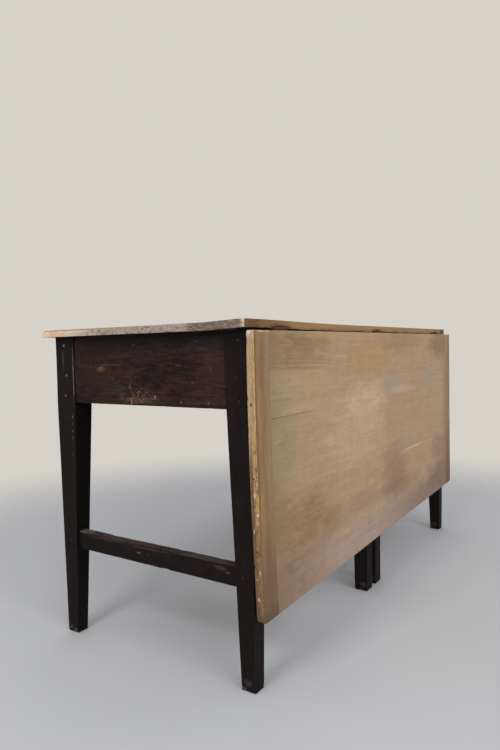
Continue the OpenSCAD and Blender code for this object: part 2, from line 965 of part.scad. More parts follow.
module leaf_board_lower() {
    color("#a3886a")
        difference() {
            leaf_board(leaf_low_z, leaf_seam_2);
            leaf_nail_cuts();
            leaf_edge_cut();
        }
}

// What the leaf's sloping free edge leaves below it
module leaf_edge_cut() {
    across_leaf()
        polygon([
            [-end_x, leaf_low_z], [end_x, leaf_low_z + leaf_skew],
            [end_x + past, leaf_low_z + leaf_skew], [end_x + past, leaf_low_z - past],
            [-end_x, leaf_low_z - past]
        ]);
}

// What the rounding of the leaf's free corner takes off at one end
module leaf_corner_cut(end) {
    r = leaf_corner_r;
    x = end * (end_x - r);
    z = corner_z(end);
    out_x = end * (end_x + past);
    far = r + past;
    difference() {
        across_leaf()
            polygon([
                [x, z], [out_x, z], [out_x, z - 2 * far],
                [x + far * sin(leaf_slope), z - far * cos(leaf_slope)]
            ]);
        translate([x, leaf_out_y - 2 * past, z])
            along_y() cylinder(h = board_thick + 4 * past, r = r);
    }
}

// Draws an outline in x and z through the thickness of the hanging leaf
module across_leaf() {
    translate([0, hinge_y + past, 0])
        rotate([90, 0, 0])
            linear_extrude(board_thick + 2 * past) children();
}

module leaf_cleat(end) {
    color("#94744f")
        difference() {
            block([end == left ? -end_x : board_end, leaf_out_y, leaf_low_z],
                  [end == left ? -board_end : end_x, hinge_y, leaf_top_z]);
            block([-board_end - tongue_len - fit, leaf_tongue_y - fit, leaf_low_z - past],
                  [board_end + tongue_len + fit, leaf_tongue_y + tongue_thick + fit, leaf_top_z + past]);
            leaf_nail_cuts();
            leaf_edge_cut();
            leaf_corner_cut(end);
        }
}

module leaf_cleat_left() { leaf_cleat(left); }
module leaf_cleat_right() { leaf_cleat(right); }

module leaf_cleat_nails() {
    color("#3b3632")
        for (end = [left, right]) at_leaf_nails(end) cleat_nails(leaf_width);
}

// ---------------------------------------------------------------- assembly

leg_front_left();
leg_front_right();
leg_back_left();
leg_back_right();
end_apron_left();
end_apron_right();
back_apron();
inner_front_rail();
outer_rail_left();
outer_rail_right();
end_stretcher_left();
end_stretcher_right();
fly_rail_left();
fly_rail_right();
swing_leg_left();
swing_leg_right();
knuckle_pin_left();
knuckle_pin_right();
top_board_front();
top_board_middle();
top_board_rear();
top_back_strip();
top_cleat_left();
top_cleat_right();
leaf_board_upper();
leaf_board_middle();
leaf_board_lower();
leaf_cleat_left();
leaf_cleat_right();
hinge_top_flap_left();
hinge_top_flap_middle();
hinge_top_flap_right();
hinge_leaf_flap_left();
hinge_leaf_flap_middle();
hinge_leaf_flap_right();
hinge_pin_left();
hinge_pin_middle();
hinge_pin_right();
hinge_top_screws();
hinge_leaf_screws();
top_screws();
end_apron_pegs();
back_apron_pegs();
front_rail_pegs();
stretcher_pegs();
fly_rail_pegs_left();
fly_rail_pegs_right();
top_cleat_nails();
leaf_cleat_nails();
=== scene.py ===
"""Dresses a drop leaf table: worn boards, dark frame, ironwork, fixings and a plain stage.

Lengths are in metres in the table's own frame: X runs along its length, the
leaf hangs on the -Y side, and Z is up from the floor.
"""

import json
import math

import bmesh
import bpy
import numpy as np
from bpy.props import FloatProperty, FloatVectorProperty, PointerProperty
from mathutils import Matrix, Vector


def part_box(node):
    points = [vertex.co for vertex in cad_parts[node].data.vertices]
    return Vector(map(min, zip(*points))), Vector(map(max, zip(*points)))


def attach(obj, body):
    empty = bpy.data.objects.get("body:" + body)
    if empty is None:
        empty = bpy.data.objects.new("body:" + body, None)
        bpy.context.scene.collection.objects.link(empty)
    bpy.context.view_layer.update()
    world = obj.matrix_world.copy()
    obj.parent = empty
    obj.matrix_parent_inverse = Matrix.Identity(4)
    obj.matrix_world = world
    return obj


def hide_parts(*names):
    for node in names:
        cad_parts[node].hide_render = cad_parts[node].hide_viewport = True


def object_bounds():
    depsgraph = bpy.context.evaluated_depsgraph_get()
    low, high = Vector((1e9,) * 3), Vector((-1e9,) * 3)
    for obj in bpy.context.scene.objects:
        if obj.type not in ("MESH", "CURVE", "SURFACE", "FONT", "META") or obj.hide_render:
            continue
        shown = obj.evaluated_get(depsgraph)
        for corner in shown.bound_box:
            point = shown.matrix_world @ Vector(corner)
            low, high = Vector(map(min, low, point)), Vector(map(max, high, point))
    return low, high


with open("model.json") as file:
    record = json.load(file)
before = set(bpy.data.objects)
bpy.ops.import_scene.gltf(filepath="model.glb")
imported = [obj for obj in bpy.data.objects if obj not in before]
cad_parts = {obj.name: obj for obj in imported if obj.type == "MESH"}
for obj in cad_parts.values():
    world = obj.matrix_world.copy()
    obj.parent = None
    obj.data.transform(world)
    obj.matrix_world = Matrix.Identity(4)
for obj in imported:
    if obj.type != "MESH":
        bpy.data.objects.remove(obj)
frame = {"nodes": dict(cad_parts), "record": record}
CAD_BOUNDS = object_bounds()

bl_info = {
    "name": "Drop leaf table",
    "version": (1, 0, 0),
    "blender": (4, 5, 0),
    "location": "View3D > Sidebar > Table",
    "description": "Worn boards, dark frame, ironwork and a plain stage for a drop leaf table",
    "category": "Object",
}

BODY_OF = {
    node: body
    for body, nodes in frame["record"]["behaviour"]["bodies"].items()
    for node in nodes
}

# The leaf's boards have twisted and shrunk: below TWIST_TOP its lower left corner lies
# further in along x and further out in -y
TWIST_TOP, TWIST_DROP, TWIST_POWER = 0.62, 0.46, 1.6
TWIST_IN, TWIST_OUT = 0.0085, 0.0060


def twist_share(x, fall):
    """How much of the twist a point has: 1 at the leaf's lower left corner."""
    half = CAD_BOUNDS[1][0]
    return fall ** TWIST_POWER * (half - x) / (2 * half)


def srgb(red, green, blue):
    """A colour given by its screen values from 0 to 255, as linear light."""
    levels = [level / 255 for level in (red, green, blue)]
    return tuple(
        level / 12.92 if level <= 0.04045 else ((level + 0.055) / 1.055) ** 2.4
        for level in levels
    )


# ---------------------------------------------------------------- settings


def colour(name, description, default):
    return FloatVectorProperty(
        name=name, description=description, default=default, size=3, subtype="COLOR", min=0, max=1
    )


def length(name, description, default):
    return FloatProperty(
        name=name, description=description, default=default, min=0, unit="LENGTH", precision=5
    )


class TableWear(bpy.types.PropertyGroup):
    """How worn the wood is."""

    board_arris: length("Board arris", "Rounding of the boards' free edges", 0.0016)
    frame_arris: length("Frame arris", "Rounding of the frame's free edges", 0.0020)
    foot_arris: length("Foot arris", "Rounding around the feet", 0.0036)
    joint_arris: length("Joint arris", "Rounding where two boards meet", 0.00010)
    skin: length("Skin", "Wood planed off every face", 0.00012)
    plane_marks: length("Plane marks", "Depth of the hollows that a hand plane left", 0.00035)
    grain_relief: length("Grain relief", "Depth of the soft grain below the hard grain", 0.00010)
    dents: length("Dents", "Depth of knocks and dents", 0.0007)


class TableColours(bpy.types.PropertyGroup):
    """Colours of the woods and metals."""

    scrubbed: colour("Scrubbed wood", "Main tone of the leaf's boards", srgb(180, 150, 117))
    scrubbed_top: colour("Scrubbed top", "Main tone of the tabletop", srgb(163, 138, 108))
    end_grey: colour("Weathered edge", "Grey of the top's end edges", srgb(120, 104, 94))
    dark: colour("Dark frame", "Dark stain of the legs and aprons", srgb(19, 12, 11))
    dark_red: colour("Worn stain", "Reddish brown where the stain is thin", srgb(62, 37, 32))
    scuff: colour("Scuff", "Pale tone of scuffs and worn arrises", srgb(104, 90, 86))
    bare: colour("Bare rail", "Unstained wood of the inner rail", srgb(126, 98, 68))
    peg: colour("Peg", "End grain of the pegs", srgb(132, 118, 116))
    iron: colour("Old iron", "Dark iron of the hinges and pins", srgb(46, 32, 24))
    rust: colour("Rust", "Rust on the iron", srgb(84, 44, 24))
    steel: colour("Steel", "Worn steel of screws and nails", srgb(88, 82, 76))


class TableStage(bpy.types.PropertyGroup):
    """Camera and lighting."""

    camera_place: FloatVectorProperty(
        name="Camera place", description="Where the camera stands",
        default=(-1.6733, -0.95185, 0.7048), size=3, subtype="TRANSLATION", unit="LENGTH",
    )
    yaw: FloatProperty(
        name="Yaw", description="Camera's heading from +X towards +Y",
        default=math.radians(33.286), subtype="ANGLE",
    )
    pitch: FloatProperty(
        name="Pitch", description="How far the camera looks down",
        default=math.radians(2.515), subtype="ANGLE",
    )
    roll: FloatProperty(
        name="Roll", description="Camera's roll", default=math.radians(-1.269), subtype="ANGLE",
    )
    lens: FloatProperty(
        name="Lens", description="Focal length in millimetres", default=29.28, min=10, max=200,
    )
    floor: colour("Floor", "Pale floor under the table", srgb(196, 197, 201))
    backdrop: colour("Backdrop", "Plain tone behind the table", srgb(214, 210, 201))
    sky: FloatProperty(name="Sky", description="Strength of the soft light all round", default=0.62, min=0)
    key: FloatProperty(
        name="Key", description="Power of the large soft lamp in front", default=128.0, min=0, unit="POWER",
    )
    side: FloatProperty(
        name="Side", description="Power of the lamp at the left end", default=34.0, min=0, unit="POWER",
    )


# ---------------------------------------------------------------- node trees


class Value:
    """A socket in a node tree. Arithmetic on it adds the Math nodes that work it out."""

    def __init__(self, tree, socket):
        self.tree = tree
        self.socket = socket

    def math(self, operation, *others):
        return self.tree.maths(operation, self, *others)

    def __add__(self, other):
        return self.math("ADD", other)

    __radd__ = __add__

    def __sub__(self, other):
        return self.math("SUBTRACT", other)

    def __rsub__(self, other):
        return self.tree.maths("SUBTRACT", other, self)

    def __mul__(self, other):
        return self.math("MULTIPLY", other)

    __rmul__ = __mul__

    def __truediv__(self, other):
        return self.math("DIVIDE", other)

    def __pow__(self, other):
        return self.math("POWER", other)

    def step(self, start, end):
        """0 at start, 1 at end, smooth between; start may be the larger."""
        return self.tree.node(
            "ShaderNodeMapRange", {"interpolation_type": "SMOOTHSTEP"},
            {"Value": self, "From Min": start, "From Max": end},
        )


class Nodes:
    """Adds nodes to one tree."""

    def __init__(self, tree):
        self.tree = tree

    def node(self, kind, settings=None, inputs=None, output=0):
        """Adds a node, gives it its settings and then its inputs, and returns one output."""
        made = self.tree.nodes.new(kind)
        for key, setting in (settings or {}).items():
            setattr(made, key, setting)
        for key, value in (inputs or {}).items():
            self.feed(made.inputs[key], value)
        return Value(self, made.outputs[output])

    def feed(self, socket, value):
        if isinstance(value, Value):
            self.tree.links.new(value.socket, socket)
        elif socket.type == "RGBA":
            socket.default_value = (*value[:3], 1)
        else:
            socket.default_value = value

    def maths(self, operation, *values):
        return self.node("ShaderNodeMath", {"operation": operation}, dict(enumerate(values)))

    def vector(self, x, y, z):
        return self.node("ShaderNodeCombineXYZ", inputs={0: x, 1: y, 2: z})


class Shader(Nodes):
    """Builds one material."""

    def __init__(self, name):
        self.material = bpy.data.materials.new(name)
        self.material.use_nodes = True
        super().__init__(self.material.node_tree)
        self.tree.nodes.clear()

    def coordinates(self, kind):
        """The X, Y and Z of one kind of texture coordinates."""
        split = self.tree.nodes.new("ShaderNodeSeparateXYZ")
        self.feed(split.inputs[0], self.node("ShaderNodeTexCoord", output=kind))
        return [Value(self, out) for out in split.outputs]

    def place(self):
        """The point's X, Y and Z in the table's frame."""
        return self.coordinates("Object")

    def facing(self, axis):
        """How far the surface faces along an axis, from -1 to 1."""
        return self.coordinates("Normal")[axis]

    def noise(self, place, detail=2.0, roughness=0.5):
        """Noise from about 0 to 1 with lumps one unit wide. Place is its x, y and z."""
        return self.node("ShaderNodeTexNoise", inputs={
            "Vector": self.vector(*place), "Scale": 1.0, "Detail": detail, "Roughness": roughness})

    def attribute(self, name):
        return self.node("ShaderNodeAttribute", {"attribute_name": name}, output="Fac")

    def mix(self, factor, first, second):
        """The first colour where the factor is 0, the second where it is 1."""
        return self.node(
            "ShaderNodeMix", {"data_type": "RGBA"}, {0: factor, 6: first, 7: second}, output=2)

    def shade(self, tone, amount):
        """A colour made lighter or darker by a factor."""
        return self.node("ShaderNodeVectorMath", {"operation": "SCALE"}, {0: tone, "Scale": amount})

    def finish(self, tone, roughness, height=None, relief=0.0005, metallic=0.0, specular=0.5):
        """Ends the material: its colour, roughness, relief in metres, metal and shine."""
        inputs = {
            "Base Color": tone, "Roughness": roughness, "Metallic": metallic,
            "Specular IOR Level": specular,
        }
        if height is not None:
            inputs["Normal"] = self.node(
                "ShaderNodeBump", inputs={"Strength": 1.0, "Distance": relief, "Height": height},
            )
        surface = self.node("ShaderNodeBsdfPrincipled", inputs=inputs)
        out = self.tree.nodes.new("ShaderNodeOutputMaterial")
        self.feed(out.inputs["Surface"], surface)
        return self.material


# ---------------------------------------------------------------- woods


class Grain:
    """The marks of the grain in a board: rings, fibres and pores, each from 0 to 1."""

    def __init__(
        self, shader, axes, seed, ring_gap=0.0075, pith=0.10, lean=0.025, sway=0.04, twisted=False,
    ):
        here = dict(zip("xyz", shader.place()))
        if twisted:
            fall = ((TWIST_TOP - here["z"]) / TWIST_DROP).math("MAXIMUM", 0.0).math("MINIMUM", 1.0)
            share = twist_share(here["x"], fall)
            here["x"] = here["x"] - share * TWIST_IN
            here["y"] = here["y"] + share * TWIST_OUT
        along, across, through = (here[axis] for axis in axes)
        self.height = here["z"]
        self.along, self.across, self.through = along, across, through
        drift = shader.noise((along * 1.3 + seed, across * 3.0, through * 3.0), 1.0)
        bend = shader.noise((along * 4.0, across * 16.0 + seed, through * 16.0), 2.0)
        aside = across + (drift - 0.5) * sway - math.sin(seed * 12.9) * 0.04
        deep = through + pith
        radius = (aside * aside + deep * deep) ** 0.5 + along * lean + (bend - 0.5) * 0.006
        uneven = shader.noise((radius * 60.0, seed, 0.0), 1.0)
        turn = (radius / ring_gap + uneven * 2.6).math("FRACT")
        clear = shader.noise((along * 2.6 + seed, across * 13.0, through * 13.0), 2.0)
        self.rings = turn.step(0.15, 0.85) * turn.step(1.0, 0.93) * clear.step(0.40, 0.60)
        self.fibres = shader.noise((along * 9.0, across * 330.0 + seed, through * 330.0), 3.0, 0.6)
        self.streaks = shader.noise((along * 2.2 + seed, across * 85.0, through * 85.0), 4.0, 0.65)
        pores = shader.noise((along * 42.0, across * 950.0, through * 950.0 + seed), 1.0)
        self.pores = pores.step(0.60, 0.72)


def blob(a, b, centre, size, ragged):
    """A soft patch: 1 in its middle, 0 outside. Size is half its width and height."""
    across = (a - centre[0]) / size[0]
    up = (b - centre[1]) / size[1]
    far = (across * across + up * up) ** 0.5 + (ragged - 0.5) * 2.2
    return far.step(1.25, 0.35)


def patched(shader, tone, a, b, patches, ragged, broken=1.0):
    """A tone with patches over it. Each patch gives its middle in a and b, half its
    width and height, its tone and how strong it is."""
    for middle, size, patch, strength in patches:
        tone = shader.mix(blob(a, b, middle, size, ragged) * (broken * strength), tone, patch)
    return tone


def on_end(x, end_x):
    """1 on the end edge of the top, 0 on its faces."""
    return x.math("ABSOLUTE").step(end_x - 0.0016, end_x - 0.0006)


def scratches(shader, a, b, seed, scale, lean):
    """Thin straight scratches, a few together."""
    turned = a * math.cos(lean) + b * math.sin(lean)
    off = b * math.cos(lean) - a * math.sin(lean)
    fine = shader.noise((turned * scale * 0.05 + seed, off * scale, seed), 2.0, 0.6)
    where = shader.noise((a * 7.0, b * 7.0, seed + 3.0), 1.0)
    return fine.step(0.66, 0.72) * where.step(0.5, 0.62)


# Patches of the leaf's face that differ from its main tone, placed in x and z
LEAF_PATCHES = (
    ((-0.560, 0.700), (0.220, 0.050), srgb(141, 114, 81), 0.75),
    ((-0.600, 0.500), (0.090, 0.190), srgb(160, 142, 112), 0.67),
    ((-0.100, 0.680), (0.180, 0.055), srgb(180, 141, 90), 0.61),
    ((0.150, 0.715), (0.220, 0.035), srgb(160, 128, 94), 0.67),
    ((0.550, 0.700), (0.140, 0.050), srgb(130, 109, 86), 0.72),
    ((-0.420, 0.610), (0.160, 0.060), srgb(182, 154, 116), 0.73),
    ((-0.300, 0.645), (0.100, 0.034), srgb(180, 152, 118), 0.52),
    ((0.050, 0.600), (0.100, 0.035), srgb(168, 150, 130), 0.73),
    ((0.160, 0.570), (0.140, 0.014), srgb(192, 166, 150), 0.67),
    ((0.460, 0.590), (0.150, 0.070), srgb(172, 151, 130), 0.67),
    ((-0.140, 0.540), (0.180, 0.080), srgb(206, 177, 148), 0.73),
    ((-0.200, 0.460), (0.220, 0.080), srgb(196, 166, 134), 0.73),
    ((-0.355, 0.485), (0.024, 0.026), srgb(198, 180, 152), 0.43),
    ((-0.060, 0.540), (0.026, 0.016), srgb(206, 186, 160), 0.43),
    ((0.200, 0.420), (0.200, 0.050), srgb(178, 148, 122), 0.67),
    ((0.260, 0.377), (0.110, 0.0040), srgb(208, 184, 166), 0.85),
    ((0.420, 0.372), (0.090, 0.0060), srgb(186, 150, 138), 0.79),
    ((0.080, 0.325), (0.110, 0.085), srgb(146, 115, 94), 0.66),
    ((0.120, 0.278), (0.170, 0.030), srgb(142, 110, 92), 0.62),
    ((0.330, 0.325), (0.050, 0.020), srgb(180, 139, 94), 0.73),
    ((-0.540, 0.315), (0.200, 0.085), srgb(137, 106, 77), 0.70),
    ((-0.380, 0.280), (0.100, 0.040), srgb(142, 111, 84), 0.50),
    ((-0.160, 0.295), (0.140, 0.032), srgb(160, 128, 108), 0.55),
    ((0.560, 0.335), (0.130, 0.060), srgb(148, 124, 106), 0.75),
    ((0.560, 0.235), (0.160, 0.060), srgb(130, 107, 90), 0.80),
    ((-0.600, 0.215), (0.110, 0.045), srgb(132, 110, 92), 0.92),
)


# Joints between the leaf's boards: the height, and the x up to which the joint stands
# open. It closes over SEAM_FADE, and the second is closed from end to end. Along a
# closed joint the edges are painted lighter: a painted highlight that hides the shade
# in the groove between the boards.
LEAF_SEAMS = ((0.5605, -0.50), (0.3585, -0.80))
SEAM_FADE = 0.10


def leaf_wood(colours, name, seed):
    """Scrubbed board of the leaf, with the patches of wear on its face."""
    shader = Shader(name)
    grain = Grain(
        shader, "xzy", seed, ring_gap=0.010, pith=0.45, lean=0.03, sway=0.05, twisted=True)
    x, z = grain.along, grain.across
    ragged = shader.noise((x * 10.0, z * 30.0, 0.0), 5.0, 0.66)
    tone = tuple(colours.scrubbed)
    flecks = shader.noise((x * 32.0, z * 95.0, 0.0), 5.0, 0.7)
    broken = flecks.step(0.28, 0.62) * 0.55 + 0.55
    tone = patched(shader, tone, x, z, LEAF_PATCHES, ragged * 0.65 + 0.175, broken)
    low = (z + (ragged - 0.5) * 0.14).step(0.290, 0.205) * broken
    low_tone = shader.mix(x.step(-0.55, -0.28), srgb(144, 119, 102), srgb(174, 152, 141))
    low_tone = shader.mix(x.step(-0.12, 0.42), low_tone, srgb(136, 113, 102))
    tone = shader.mix(low * 0.85, tone, low_tone)
    ends = x.step(-0.555, -0.640) * 0.75 + x.step(0.560, 0.640) * 0.62
    tone = shader.mix(ends, tone, srgb(143, 116, 87))
    drifted = z + (ragged - 0.5) * 0.10
    olive = (x + (ragged - 0.5) * 0.10).step(-0.500, -0.590)
    olive = olive * drifted.step(0.400, 0.480) * drifted.step(0.675, 0.635)
    tone = shader.mix(olive * broken * 0.62, tone, srgb(161, 145, 113))
    for seam_z, seam_end in LEAF_SEAMS:
        near = (z - seam_z).math("ABSOLUTE")
        opened = x.step(seam_end + SEAM_FADE, seam_end)
        tone = shader.mix(near.step(0.0014, 0.0004) * opened * ragged, tone, srgb(84, 66, 44))
        # Painted highlight: along a closed joint its edges are lightened, to hide the shade in the groove
        tone = shader.shade(tone, near.step(0.0020, 0.0006) * (1.0 - opened) * 0.09 + 1.0)
    mottle = shader.noise((x * 20.0, z * 55.0, seed), 5.0, 0.68)
    close = shader.noise((x * 34.0, z * 190.0, seed), 3.0, 0.6)
    drips = shader.noise((x * 36.0 + seed, z * 5.0, 0.0), 3.0, 0.6)
    tone = shader.shade(tone, (0.78 + mottle * 0.40) * (0.92 + drips * 0.16))
    arches = blob(x, z, (-0.47, 0.690), (0.20, 0.055), ragged)
    tone = shader.mix(grain.rings * (arches * 0.22 + 0.09), tone, srgb(112, 86, 56))
    tone = shader.shade(tone, 0.88 + grain.streaks * 0.24)
    tone = shader.shade(tone, 0.89 + close * 0.22)
    tone = shader.shade(tone, 0.94 + grain.fibres * 0.12)
    tone = shader.mix(grain.pores * 0.14, tone, srgb(84, 64, 44))
    marks = scratches(shader, x, z, seed, 420.0, 0.5)
    tone = shader.mix(marks * 0.30, tone, srgb(205, 188, 168))
    rim = (z - 0.460).math("ABSOLUTE").step(0.22, 0.26)
    worn = shader.attribute("arris") * mottle.step(0.35, 0.60) * rim
    tone = shader.mix(worn * 0.45, tone, srgb(120, 98, 70))
    height = grain.rings * 0.15 + close * 0.4 + grain.fibres * 0.4 - grain.pores * 0.4 - marks * 0.3
    return shader.finish(tone, 0.58 + mottle * 0.20, height, 0.0003, specular=0.35)


def underside(shader, tone):
    """Dark, never scrubbed wood on the faces that look down."""
    down = shader.facing(2).step(-0.5, -0.8)
    return shader.mix(down * 0.8, tone, srgb(84, 62, 42))


# Rust that the hinges left on the front edge of the top, placed in x and z
HINGE_STAINS = (
    ((-0.545, 0.7455), (0.042, 0.0095), srgb(66, 30, 8), 0.9),
    ((0.004, 0.7440), (0.042, 0.0095), srgb(66, 30, 8), 0.9),
    ((0.567, 0.7440), (0.042, 0.0095), srgb(66, 30, 8), 0.9),
)


def top_wood(colours, name, seed):
    """Scrubbed board of the tabletop. Its front edge is olive brown and stained
    around the hinges."""
    shader = Shader(name)
    grain = Grain(shader, "xyz", seed, ring_gap=0.010, pith=-0.55, lean=0.03, sway=0.05)
    x, y, z = grain.along, grain.across, grain.through
    clouds = shader.noise((x * 4.0 + seed, y * 11.0, 0.0), 5.0, 0.62)
    tone = shader.mix(clouds.step(0.42, 0.68), tuple(colours.scrubbed_top), srgb(184, 156, 124))
    tone = shader.mix(clouds.step(0.50, 0.28) * 0.7, tone, srgb(142, 116, 84))
    tone = shader.mix(grain.rings * 0.24, tone, srgb(110, 84, 56))
    spots = shader.noise((x * 24.0, y * 60.0, z * 120.0), 5.0, 0.66)
    edge_tone = shader.mix(x.step(-0.35, -0.67), srgb(158, 124, 84), srgb(126, 98, 60))
    edge_tone = shader.shade(edge_tone, 0.72 + spots * 0.56)
    # Painted shade: the front edge is darker in patches towards its lower arris, for the shade of the joint
    # with the leaf
    low = z.step(0.7500, 0.7440) * spots.step(0.62, 0.36)
    edge_tone = shader.mix(low * 0.8, edge_tone, srgb(70, 48, 30))
    edge_tone = patched(shader, edge_tone, x, z, HINGE_STAINS, spots * 0.9 + 0.05)
    edge_tone = shader.mix(x.step(0.625, 0.640) * 0.8, edge_tone, srgb(104, 88, 70))
    tone = shader.mix(y.step(-0.2915, -0.2926), tone, edge_tone)
    tone = shader.shade(tone, 0.82 + grain.streaks * 0.36)
    tone = shader.shade(tone, 0.94 + grain.fibres * 0.12)
    tone = shader.mix(grain.pores * 0.16, tone, srgb(84, 64, 44))
    marks = scratches(shader, x, y, seed, 420.0, 0.4)
    tone = shader.mix(marks * 0.25, tone, srgb(205, 188, 168))
    tone = underside(shader, tone)
    worn = shader.attribute("arris") * spots.step(0.35, 0.60)
    tone = shader.mix(worn * 0.45, tone, srgb(120, 98, 70))
    height = grain.rings * 0.35 + grain.fibres * 0.5 - grain.pores * 0.5 - marks * 0.3
    return shader.finish(tone, 0.58 + spots * 0.20, height, 0.00035, specular=0.35)


def top_cleat_wood(colours, name, seed, end_x):
    """Cleat of the top: scrubbed above, its end edge grey and speckled in front and
    cream behind."""
    shader = Shader(name)
    grain = Grain(shader, "yxz", seed, ring_gap=0.006, pith=-0.30, lean=0.02)
    y, x, z = grain.along, grain.across, grain.through
    clouds = shader.noise((y * 9.0, x * 20.0 + seed, z * 20.0), 4.0, 0.6)
    tone = shader.mix(clouds, srgb(146, 120, 88), srgb(176, 150, 118))
    out = on_end(x, end_x)
    speck = shader.noise((y * 95.0, x * 95.0, z * 170.0), 5.0, 0.7)
    cream = shader.mix(clouds.step(0.35, 0.65), srgb(196, 176, 158), srgb(216, 198, 178))
    grey = shader.mix(y.step(-0.130, -0.165), srgb(166, 148, 138), tuple(colours.end_grey))
    grey = shader.mix(y.step(-0.278, -0.290), grey, srgb(206, 188, 172))
    rear = (y + (clouds - 0.5) * 0.10).step(0.10, 0.175)
    edge_tone = shader.mix(rear, grey, cream)
    pitted = speck.step(0.50, 0.64)
    edge_tone = shader.mix(pitted * rear.step(1.0, 0.4) * 0.62, edge_tone, srgb(76, 62, 54))
    edge_tone = shader.mix(speck.step(0.46, 0.34) * 0.40, edge_tone, srgb(204, 190, 180))
    tone = shader.mix(out, tone, edge_tone)
    front_tone = shader.shade(srgb(116, 88, 55), 0.7 + speck * 0.6)
    tone = shader.mix(y.step(-0.2915, -0.2924), tone, front_tone)
    tone = underside(shader, tone)
    tone = shader.shade(tone, 0.88 + grain.streaks * 0.24)
    tone = shader.mix(grain.rings * 0.12, tone, srgb(96, 76, 56))
    tone = shader.mix(grain.pores * 0.20, tone, srgb(76, 62, 50))
    height = grain.fibres * 0.6 - grain.pores * 0.5 + grain.rings * 0.3 - pitted * 0.7
    return shader.finish(tone, 0.72 + clouds * 0.15, height, 0.0006, specular=0.3)


def back_strip_wood(name, seed, end_x):
    """Strip along the back of the top, with pale pinkish end grain."""
    shader = Shader(name)
    grain = Grain(shader, "xyz", seed, ring_gap=0.006, pith=-0.40, lean=0.03)
    x, y, z = grain.along, grain.across, grain.through
    clouds = shader.noise((x * 5.0, y * 22.0, z * 22.0 + seed), 4.0, 0.6)
    tone = shader.mix(clouds, srgb(142, 116, 86), srgb(176, 152, 124))
    out = on_end(x, end_x)
    pink = shader.mix(clouds.step(0.35, 0.65), srgb(216, 182, 152), srgb(238, 206, 174))
    tone = shader.mix(out, tone, pink)
    tone = underside(shader, tone)
    tone = shader.shade(tone, 0.90 + grain.streaks * 0.20)
    tone = shader.mix(grain.rings * 0.15, tone, srgb(110, 86, 60))
    tone = shader.mix(grain.pores * 0.14, tone, srgb(84, 64, 44))
    height = grain.rings * 0.4 + grain.fibres * 0.5 - grain.pores * 0.4
    return shader.finish(tone, 0.62 + clouds * 0.18, height, 0.00035, specular=0.3)


# White paint on the leaf's end edge: the middle in z and y, half its size, how strong
PAINT_SPOTS = (
    ((0.736, -0.301), (0.0045, 0.0050), 0.9),
    ((0.416, -0.304), (0.0055, 0.0020), 0.9),
    ((0.377, -0.309), (0.0030, 0.0028), 0.8),
    ((0.343, -0.2995), (0.0040, 0.0016), 0.6),
    ((0.262, -0.309), (0.0055, 0.0018), 0.6),
    ((0.247, -0.3005), (0.0034, 0.0018), 0.6),
    ((0.207, -0.303), (0.0044, 0.0022), 0.9),
)


